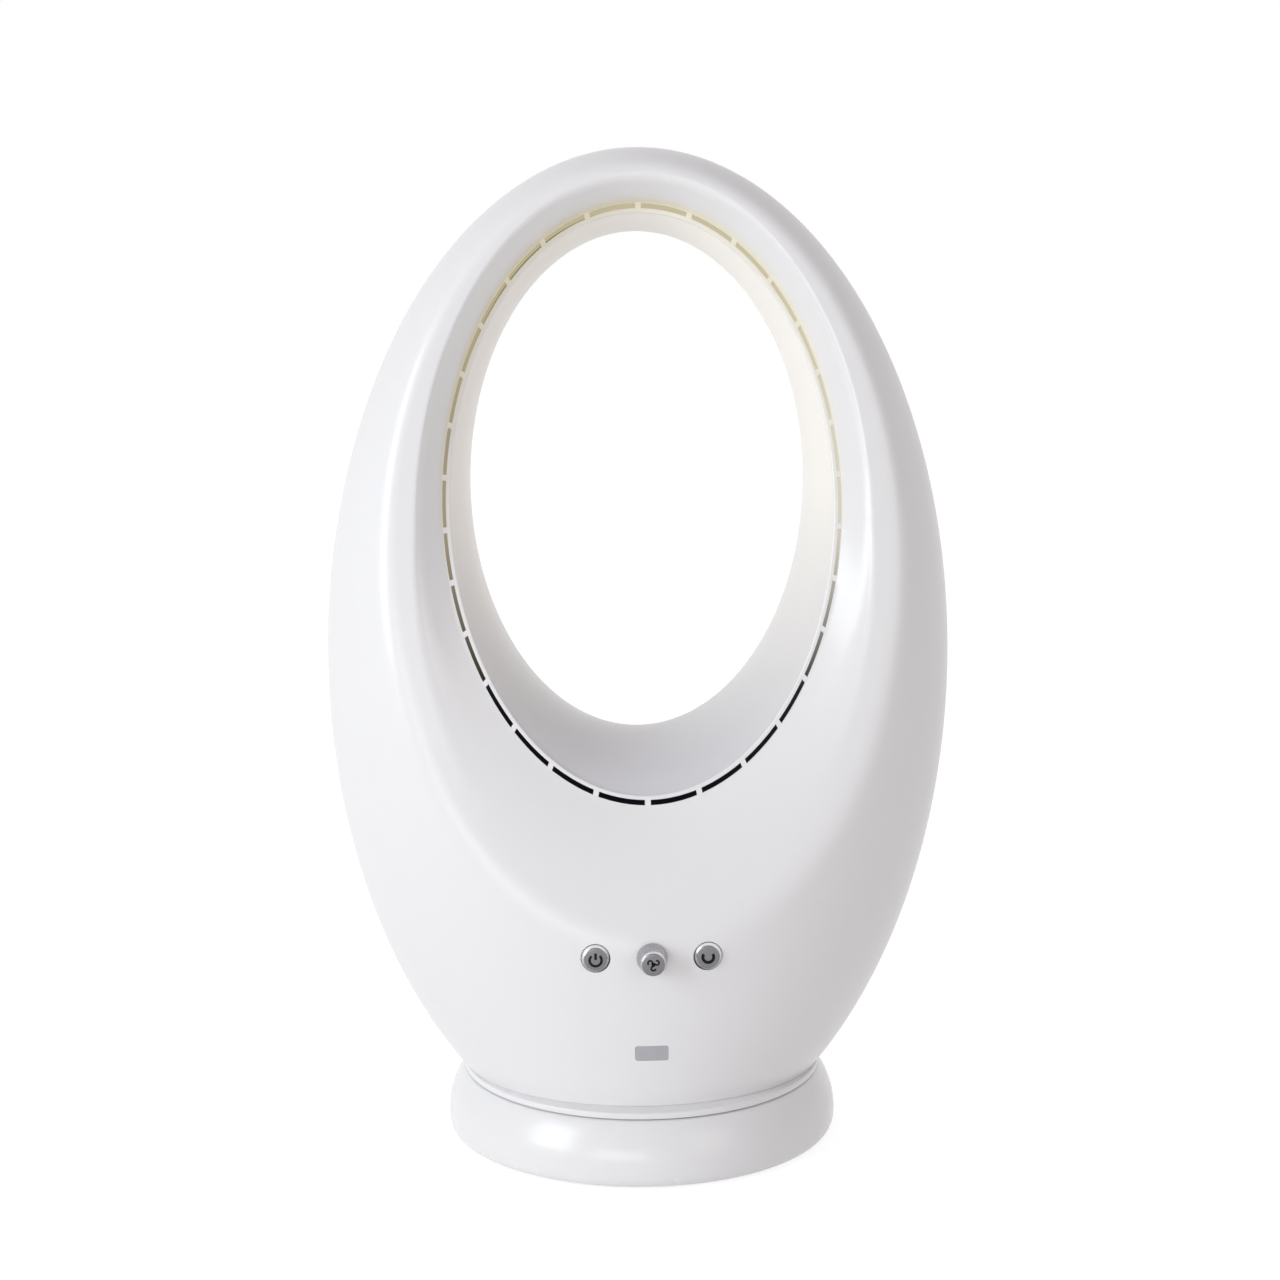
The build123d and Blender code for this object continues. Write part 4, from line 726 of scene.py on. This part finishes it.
# ------------------------------ operators
class FAN_OT_front_shell(bpy.types.Operator):
    """Front of the egg: slotted flange, funnel, crest, land and belly in one surface"""
    bl_idname = "fan.front_shell"
    bl_label = "Front shell"

    def execute(self, context):
        s, slot = sizes(), slot_oval()
        columns = slot_columns()
        start_grow = 0.4                # mm outside the slots, where the funnel starts
        # rows of the flange: mm outside its oval, mm behind its face, share of the oval
        lip = [(-2.3, 1.6, 1.0), (-2.3, 0.9, 1.0), (-2.08, 0.3, 1.0), (-1.6, 0.0, 1.0)]
        flange = lip + [(0.0, 0.0, 1.0), (0.0, 0.0, SLOT_SHARE), (start_grow, 0.0, SLOT_SHARE)]
        inner_row, outer_row = len(lip), len(lip) + 1
        funnel_rows = 16
        funnel = [1 - (1 - i / funnel_rows) ** 1.5 for i in range(1, funnel_rows + 1)]
        skin = skin_shares(60, 1.3)
        paths = [(angle, *self.path(angle, slot.at(angle, start_grow * MM, 0.0, SLOT_SHARE)))
                 for angle, _ in columns]

        def place(column, row):
            angle, start, mouth, slope, (edge_x, edge_z, low) = paths[column]
            if row < len(flange):
                grow, back, share = flange[row]
                return slot.at(angle, grow * MM, back * MM, share)
            row -= len(flange)
            if row < len(funnel):
                p = start.lerp(mouth, funnel[row])
                return crest_point(p.x, p.y, p.z)
            row -= len(funnel)
            w = skin[min(row, len(skin) - 1)]
            x, z = mouth.x + (edge_x - mouth.x) * w, mouth.z + (edge_z - mouth.z) * w
            p = crest_point(x, mouth.y + slope * hypot(x - mouth.x, z - mouth.z), z)
            return hem_point(p) if row == len(skin) and low else p

        bm = ring_surface(len(columns), len(flange) + len(funnel) + len(skin) + 1, place)
        inner, outer = [[place(c, row) for c in range(len(columns))] for row in (inner_row, outer_row)]
        self.open_slots(bm, inner, outer, [is_open for _, is_open in columns], slot.behind * s.flange)
        turn_faces(bm, FRONT, FRONT)
        piece("front_body", bm, finish("front_white"), "head", ("front_shell",),
              wall=FRONT_WALL, inside=finish("inside"), cutters=self.cutters())
        return {"FINISHED"}

    @staticmethod
    def path(angle, start):
        """The way from the slots outwards: its start, the crest, the slope between them, the outline."""
        down = max(0.0, -sin(angle))
        x = (sizes().mouth_half_width + MOUTH_SPREAD * down) * cos(angle)
        z = MOUTH_Z + (MOUTH_UP if down == 0 else MOUTH_DOWN) * sin(angle)
        mouth = Vector((x, front_y(x, z), z))
        slope = (mouth.y - start.y) / hypot(mouth.x - start.x, mouth.z - start.z)
        return start, mouth, slope, outline_point(angle)

    @staticmethod
    def open_slots(bm, inner, outer, is_open, back):
        """Deletes the open cells between the two edges of the slots, and draws their rims back."""
        def key(co):
            return tuple(round(v, 6) for v in co)

        inner_keys = {key(p): column for column, p in enumerate(inner)}
        outer_keys = {key(p) for p in outer}
        openings = []
        for face in bm.faces:
            keys = [key(v.co) for v in face.verts]
            ends = sorted(inner_keys[k] for k in keys if k in inner_keys)
            if len(ends) == 2 and sum(k in outer_keys for k in keys) == 2:
                first = ends[0] if ends[1] == ends[0] + 1 else ends[1]
                if is_open[first]:
                    openings.append(face)
        bmesh.ops.delete(bm, geom=openings, context="FACES")
        rim = [e for e in bm.edges if e.is_boundary and
               all(key(v.co) in inner_keys or key(v.co) in outer_keys for v in e.verts)]
        made = bmesh.ops.extrude_edge_only(bm, edges=rim)
        walls = [g for g in made["geom"] if isinstance(g, bmesh.types.BMVert)]
        bmesh.ops.translate(bm, verts=walls, vec=back)

    @staticmethod
    def cutters():
        """The holes of the buttons, of the knob's shaft and of the window."""
        s = sizes()
        y0, y1, button_gap, shaft_hole = -0.120, -0.080, 0.0001, 0.0046
        cuts = [round_cutter(s.button_radius + button_gap, y0, y1, x, s.control_z)
                for x in (-s.button_x, s.button_x)]
        cuts.append(round_cutter(shaft_hole, y0, y1, 0.0, s.control_z))
        cuts.append(plate_cutter(half_x=0.00865, low=0.06535, high=0.07365, corner=0.0014, y0=y0, y1=y1))
        return cuts


class FAN_OT_rear_shell(bpy.types.Operator):
    """Back of the egg, from the rounded lip of the opening to the outline"""
    bl_idname = "fan.rear_shell"
    bl_label = "Rear shell"

    def execute(self, context):
        lip = [(0.0, 2.4), (0.0, 1.4), (0.35, 0.45), (1.2, 0.0)]    # mm outside the hole, under the back
        skin = skin_shares(48, 1.1)
        paths = [(duct_point(angle, duct_exit(angle, REAR_GAP), REAR_GAP),
                  Vector((cos(angle), 0, sin(angle))), outline_point(angle)) for angle in ring_angles()]

        def place(column, row):
            hole, out, (edge_x, edge_z, low) = paths[column]
            aside, down = lip[min(row, len(lip) - 1)]
            p = hole + out * aside * MM
            if row < len(lip):
                return Vector((p.x, rear_y(p.x, p.z) - down * MM, p.z))
            row -= len(lip)
            w = skin[min(row, len(skin) - 1)]
            x, z = p.x + (edge_x - p.x) * w, p.z + (edge_z - p.z) * w
            q = Vector((x, rear_y(x, z), z))
            return hem_point(q) if row == len(skin) and low else q

        bm = ring_surface(RING_COLUMNS, len(lip) + len(skin) + 1, place)
        turn_faces(bm, BACK, BACK)
        grille = plate_cutter(half_x=0.0623, low=0.0617, high=0.1463, corner=0.012, y0=0.020, y1=0.130)
        screws = [(side * (half_width(z) - SCREW_INSET), z) for z in SCREW_HEIGHTS for side in (-1, 1)]
        holes = [round_cutter(SCREW_HOLE, 0.006, 0.120, x, z) for x, z in screws]
        piece("rear_body", bm, finish("shell_white"), "head", ("rear_shell",),
              wall=REAR_WALL, inside=finish("inside"), cutters=[grille] + holes)
        for i, (x, z) in enumerate(screws):
            self.bore(i + 1, x, z)
        return {"FINISHED"}

    @staticmethod
    def bore(number, x, z):
        """The tube that a shell screw's head lies in, from its seat to just under the back's skin."""
        shank, outside, seat, head, far, under = 0.0017, 0.0046, 0.0044, 0.0060, 0.2, 0.0006
        bm = spun([(shank, seat), (outside, seat), (outside, far), (SCREW_HOLE, far), (SCREW_HOLE, head),
                   (shank, head)], steps=48, upright=False, centre=(x, 0, z))
        for v in bm.verts:
            if v.co.y > far / 2:
                v.co.y = rear_y(v.co.x, v.co.z) - under
        piece(f"screw_bore_{number}", bm, finish("inner_plastic"), "head")


class FAN_OT_duct(bpy.types.Operator):
    """Inner wall of the oval opening, with the rib that closes its seam to the rear shell"""
    bl_idname = "fan.duct"
    bl_label = "Duct liner"

    def execute(self, context):
        steps = 40
        angles = ring_angles()
        exits = [duct_exit(a, 0.0) for a in angles]

        def wall_place(column, row):
            return duct_point(angles[column], exits[column] * row / steps, 0.0)

        bm = ring_surface(RING_COLUMNS, steps + 1, wall_place)
        turn_faces(bm, UP, DOWN)
        piece("duct_wall", bm, finish("liner_white"), "head", ("duct_liner",),
              wall=DUCT_WALL, inside=finish("duct_inside"))

        near, far, first, last = 0.0012, 0.0046, 0.045, 0.028   # how far outside, and before the exit
        rib = [(near, first), (far, first), (far, last), (near, last), (near, first)]

        def rib_place(column, row):
            grow, before = rib[row]
            return duct_point(angles[column], exits[column] - before, grow)

        bm = ring_surface(RING_COLUMNS, len(rib), rib_place)
        bmesh.ops.recalc_face_normals(bm, faces=bm.faces)
        piece("duct_rib", bm, finish("duct_inside"), "head")
        return {"FINISHED"}


class FAN_OT_buttons(bpy.types.Operator):
    """Power and oscillation buttons with their symbols"""
    bl_idname = "fan.buttons"
    bl_label = "Push buttons"

    def execute(self, context):
        s = sizes()
        front = -BUTTON_REACH
        for name, x in (("power", -s.button_x), ("oscillation", s.button_x)):
            cap = spun(self.profile(front), steps=96, upright=False, centre=(x, 0, s.control_z),
                       closed=False)
            piece(f"{name}_cap", cap, finish("button_silver"), f"{name}_button",
                  (f"{name}_button",))
        low, stroke = s.control_z - 0.6 * MM, 1.3 * MM
        ring = printed_arc(-s.button_x, front, low, 3.1 * MM, stroke, radians(48), radians(276))
        bar = box((stroke, 2 * PRINT_LIFT, 3.5 * MM), (-s.button_x, front, low + 1.95 * MM))
        piece("power_symbol", ring, finish("symbol"), "power_button")
        piece("power_symbol_bar", bar, finish("symbol"), "power_button")
        bend = printed_arc(s.button_x, front, low + 0.4 * MM, 2.8 * MM, 1.6 * MM, radians(36), radians(252))
        piece("oscillation_symbol", bend, finish("symbol"), "oscillation_button")
        return {"FINISHED"}

    @staticmethod
    def profile(front):
        """(radius, y) of a button: its rounded edge, the collar behind the wall and the hollow back."""
        r, collar_y, collar, hollow, floor_y = sizes().button_radius, -0.0864, 0.0090, 0.0055, -0.0951
        edge = [(2.2, 0.0), (1.9, 0.05), (1.6, 0.2), (1.1, 0.6), (0.6, 1.1), (0.2, 1.8), (0.0, 2.5)]
        back_y = collar_y + 0.0012
        return ([(0.0, front)] + [(r - inside * MM, front + behind * MM) for inside, behind in edge]
                + [(r, collar_y), (collar, collar_y), (collar, back_y), (hollow, back_y),
                   (hollow, floor_y), (0.0, floor_y)])


class FAN_OT_knob(bpy.types.Operator):
    """Speed knob with its blade symbol"""
    bl_idname = "fan.knob"
    bl_label = "Speed knob"

    def execute(self, context):
        z, face = sizes().control_z, -KNOB_REACH
        bm = spun(self.profile(face), steps=96, upright=False, centre=(0, 0, z), closed=False)
        piece("knob_cap", bm, finish("button_silver"), "knob", ("speed_knob",))
        blades, reach, radius, width, dot_radius = 3, 1.95 * MM, 1.15 * MM, 0.9 * MM, 1.0 * MM
        for i in range(blades):
            turn = radians(30 + 360 / blades * i)
            blade = printed_arc(reach * cos(turn), face, z + reach * sin(turn), radius, width,
                                turn + radians(80), radians(280))
            piece(f"knob_blade_{i + 1}", blade, finish("symbol"), "knob")
        dot = spun([(0.0, -PRINT_LIFT), (dot_radius, -PRINT_LIFT), (dot_radius, PRINT_LIFT),
                    (0.0, PRINT_LIFT)], steps=32, upright=False, centre=(0, face, z), closed=False)
        piece("knob_dot", dot, finish("symbol"), "knob")
        return {"FINISHED"}

    @staticmethod
    def profile(face):
        """(radius, y) of the knob: its rounded edge and tapered side, its skirt and the hollow back."""
        back, hollow, hollow_depth = -0.0992, 5.8, 3.5
        side = [(5.0, 0.0), (5.4, 0.06), (5.8, 0.2), (6.2, 0.6), (6.5, 1.4), (6.8, 3.0), (7.3, 6.5)]
        skirt = [(7.7, 2.0), (7.9, 0.9), (8.0, 0.2), (7.8, 0.0), (hollow, 0.0), (hollow, hollow_depth),
                 (0.0, hollow_depth)]
        return ([(0.0, face)] + [(r * MM, face + behind * MM) for r, behind in side]
                + [(r * MM, back - before * MM) for r, before in skirt])


class FAN_OT_foot(bpy.types.Operator):
    """Foot cover with its rim and sunk deck, and the sleeve of the cord's inlet"""
    bl_idname = "fan.foot"
    bl_label = "Foot"

    def execute(self, context):
        s = sizes()
        top, deck = s.foot_height / MM, s.deck_height / MM
        outer = [(105.3, 1.2), (106.5, 1.55), (107.3, 2.6), (107.95, 4.0), (108.3, 5.6), (108.4, 7.8),
                 (108.4, 10.0), (108.05, 14.0), (107.4, 18.0), (106.25, 21.8), (104.8, 25.5),
                 (103.4, 28.4), (101.6, 31.2), (100.5, 32.8), (99.7, 33.8), (99.0, 34.35), (98.2, top)]
        hub, socket, floor, step = 15.05, 18.45, 27.9, 31.5     # mm: two radii of the hub, two ceilings
        inner = [(86.0, top), (86.0, deck), (hub, deck), (hub, 16.4), (socket, 16.4), (socket, floor),
                 (89.0, floor), (89.0, step), (99.0, step), (101.4, 25.5), (103.0, 20.0), (103.6, 14.0),
                 (103.6, 5.6), (103.2, 2.6), (102.7, 1.2)]
        foot = spun([(r * MM, z * MM) for r, z in outer + inner], steps=256)
        piece("foot_shell", foot, finish("foot_white"), "foot", ("foot_cover",),
              cutters=self.cutters())
        sleeve = [(3.6, 100.0), (6.0, 100.0), (6.0, 103.0), (4.9, 103.0), (4.9, 105.6), (6.0, 105.6),
                  (6.0, 108.4), (5.3, 110.4), (3.9, 110.4), (3.6, 110.0)]
        gland = spun([(r * MM, y * MM) for r, y in sleeve], steps=64, upright=False,
                     centre=(0, 0, INLET_Z))
        piece("gland_sleeve", gland, finish("rubber_black"), "foot", ("cord_gland",))
        return {"FINISHED"}

    @staticmethod
    def cutters():
        """The flat recess of the cord's inlet with its hole, and the drive pinion's hole in the deck."""
        recess_floor, beyond, recess_x, recess_z = 0.1056, 0.120, 0.018, 0.016
        recess = box((recess_x, beyond - recess_floor, recess_z), (0, (recess_floor + beyond) / 2, INLET_Z))
        gland_hole, gland_y = 0.0049, 0.090
        pinion_y, pinion_hole, low, high = 0.0375, 0.0094, 0.027, 0.032
        drive = spun([(0, low), (pinion_hole, low), (pinion_hole, high), (0, high)], steps=64,
                     centre=(0, pinion_y, 0), closed=False)
        return [cutter(recess), round_cutter(gland_hole, gland_y, beyond, 0.0, INLET_Z), cutter(drive)]


class FAN_OT_inner_parts(bpy.types.Operator):
    """Finishes of the frame's own solids"""
    bl_idname = "fan.inner_parts"
    bl_label = "Inner parts"

    def execute(self, context):
        slots = {p["node"]: p["material_slot"] for p in frame["record"]["subparts"]}
        for name, obj in frame["nodes"].items():
            obj.data.materials.clear()
            obj.data.materials.append(finish(slots[name]))
            for poly in obj.data.polygons:
                poly.use_smooth = True
            weld = obj.modifiers.new("weld", "WELD")
            weld.merge_threshold = FRAME_WELD
            split = obj.modifiers.new("edges", "EDGE_SPLIT")
            split.split_angle = EDGE_ANGLE
        return {"FINISHED"}


LAMPS = {           # place, size, power, tint
    "key": ((-2.0, -1.3, 0.9), (1.1, 1.5), 26.2, (0.954, 1.014, 1.034)),
    "low": ((-0.6, -2.2, 0.25), (1.2, 0.5), 5.9, (1.03, 1.0, 0.96)),
    "fill": ((1.5, -2.0, 0.9), (1.0, 1.2), 4.5, (1.05, 1.05, 0.90)),
}
LAMP_AIM = Vector((0, 0, 0.26))
SKY = (0.410, 0.385, 0.416)             # the even light from all round
SKY_BEHIND = (0.815, 0.757, 0.710)      # what it grows to behind the object
FLOOR_HALF = 60.0
FLOOR_BASE, FLOOR_GLOW = (0.30, 0.30, 0.30), (0.82, 0.82, 0.82)     # what the camera sees of the floor
CAMERA_REACH, CAMERA_Z = 1.2, 0.4521
CAMERA_YAW, CAMERA_PITCH, CAMERA_ROLL = -3.3, 8.48, -0.3            # degrees: aside, down, about the view


class FAN_OT_studio(bpy.types.Operator):
    """Floor, lamps, world and camera"""
    bl_idname = "fan.studio"
    bl_label = "Studio"

    def execute(self, context):
        self.floor()
        for name, settings in LAMPS.items():
            self.lamp(name, *settings)
        self.world(context)
        self.camera(context)
        context.scene.view_settings.view_transform = "Standard"
        return {"FINISHED"}

    @staticmethod
    def floor():
        bm = bmesh.new()
        bmesh.ops.create_grid(bm, x_segments=2, y_segments=2, size=FLOOR_HALF)
        obj = new_object("studio_floor", bm)
        f = Finish("studio floor", Roughness=0.8, Emission_Strength=1.0)
        tone = f.blend(f.noise(3.0), shaded(colours().floor, 0.98), colours().floor)
        seen = f.seen()
        f.set(Base_Color=f.blend(seen, tone, FLOOR_BASE),
              Emission_Color=f.blend(seen, (0, 0, 0), FLOOR_GLOW))
        obj.data.materials.append(f.material)

    @staticmethod
    def lamp(name, place, size, power, tint):
        data = bpy.data.lights.new(name, "AREA")
        data.shape = "RECTANGLE"
        data.size, data.size_y = size
        data.energy, data.color = power, tint
        obj = bpy.data.objects.new(name, data)
        obj.location = place
        obj.rotation_euler = (LAMP_AIM - Vector(place)).to_track_quat("-Z", "Y").to_euler()
        bpy.context.scene.collection.objects.link(obj)

    @staticmethod
    def world(context):
        world = bpy.data.worlds.new("studio")
        world.use_nodes = True
        context.scene.world = world
        sky = Tree(world.node_tree)
        way = sky.node("ShaderNodeTexCoord", {}, {}, "Generated")
        backwards = sky.node("ShaderNodeSeparateXYZ", {}, {0: way}, "Y")
        behind = sky.node("ShaderNodeClamp", {}, {0: backwards})
        shown = sky.blend(sky.seen(), sky.blend(behind, SKY, SKY_BEHIND), (1, 1, 1))
        sky.tree.links.new(shown.socket, sky.tree.nodes["Background"].inputs["Color"])

    @staticmethod
    def camera(context):
        data = bpy.data.cameras.new("photo_camera")
        data.sensor_width = 36.0
        data.lens = 62.09
        data.shift_x = 0.0005
        data.clip_end = 200.0
        obj = bpy.data.objects.new("photo_camera", data)
        yaw = radians(CAMERA_YAW)
        obj.location = (CAMERA_REACH * sin(yaw), -CAMERA_REACH * cos(yaw), CAMERA_Z)
        turn = Matrix.Rotation(yaw, 3, "Z") @ Matrix.Rotation(radians(90 - CAMERA_PITCH), 3, "X")
        turn = turn @ Matrix.Rotation(radians(CAMERA_ROLL), 3, "Z")
        obj.rotation_euler = turn.to_euler()
        context.scene.collection.objects.link(obj)
        context.scene.camera = obj


class FAN_PT_panel(bpy.types.Panel):
    """Lists the fan's sizes, colours and operators"""
    bl_idname = "FAN_PT_panel"
    bl_label = "Bladeless fan"
    bl_space_type = "VIEW_3D"
    bl_region_type = "UI"
    bl_category = "Fan"

    def draw(self, context):
        layout = self.layout
        for group in (context.scene.fan_sizes, context.scene.fan_colours):
            rows = layout.box()
            for key in group.__annotations__:
                rows.prop(group, key)
        for operator in OPERATORS:
            layout.operator(operator.bl_idname)


OPERATORS = (FAN_OT_inner_parts, FAN_OT_front_shell, FAN_OT_rear_shell, FAN_OT_duct, FAN_OT_buttons,
             FAN_OT_knob, FAN_OT_foot, FAN_OT_studio)
CLASSES = (FanSizes, FanColours, FAN_PT_panel) + OPERATORS


def register():
    for cls in CLASSES:
        bpy.utils.register_class(cls)
    bpy.types.Scene.fan_sizes = PointerProperty(type=FanSizes)
    bpy.types.Scene.fan_colours = PointerProperty(type=FanColours)


def unregister():
    del bpy.types.Scene.fan_sizes
    del bpy.types.Scene.fan_colours
    for cls in reversed(CLASSES):
        bpy.utils.unregister_class(cls)


def main():
    register()
    bpy.ops.fan.inner_parts()
    bpy.ops.fan.front_shell()
    bpy.ops.fan.rear_shell()
    bpy.ops.fan.duct()
    bpy.ops.fan.buttons()
    bpy.ops.fan.knob()
    bpy.ops.fan.foot()
    bpy.ops.fan.studio()


if __name__ == "__main__":
    main()
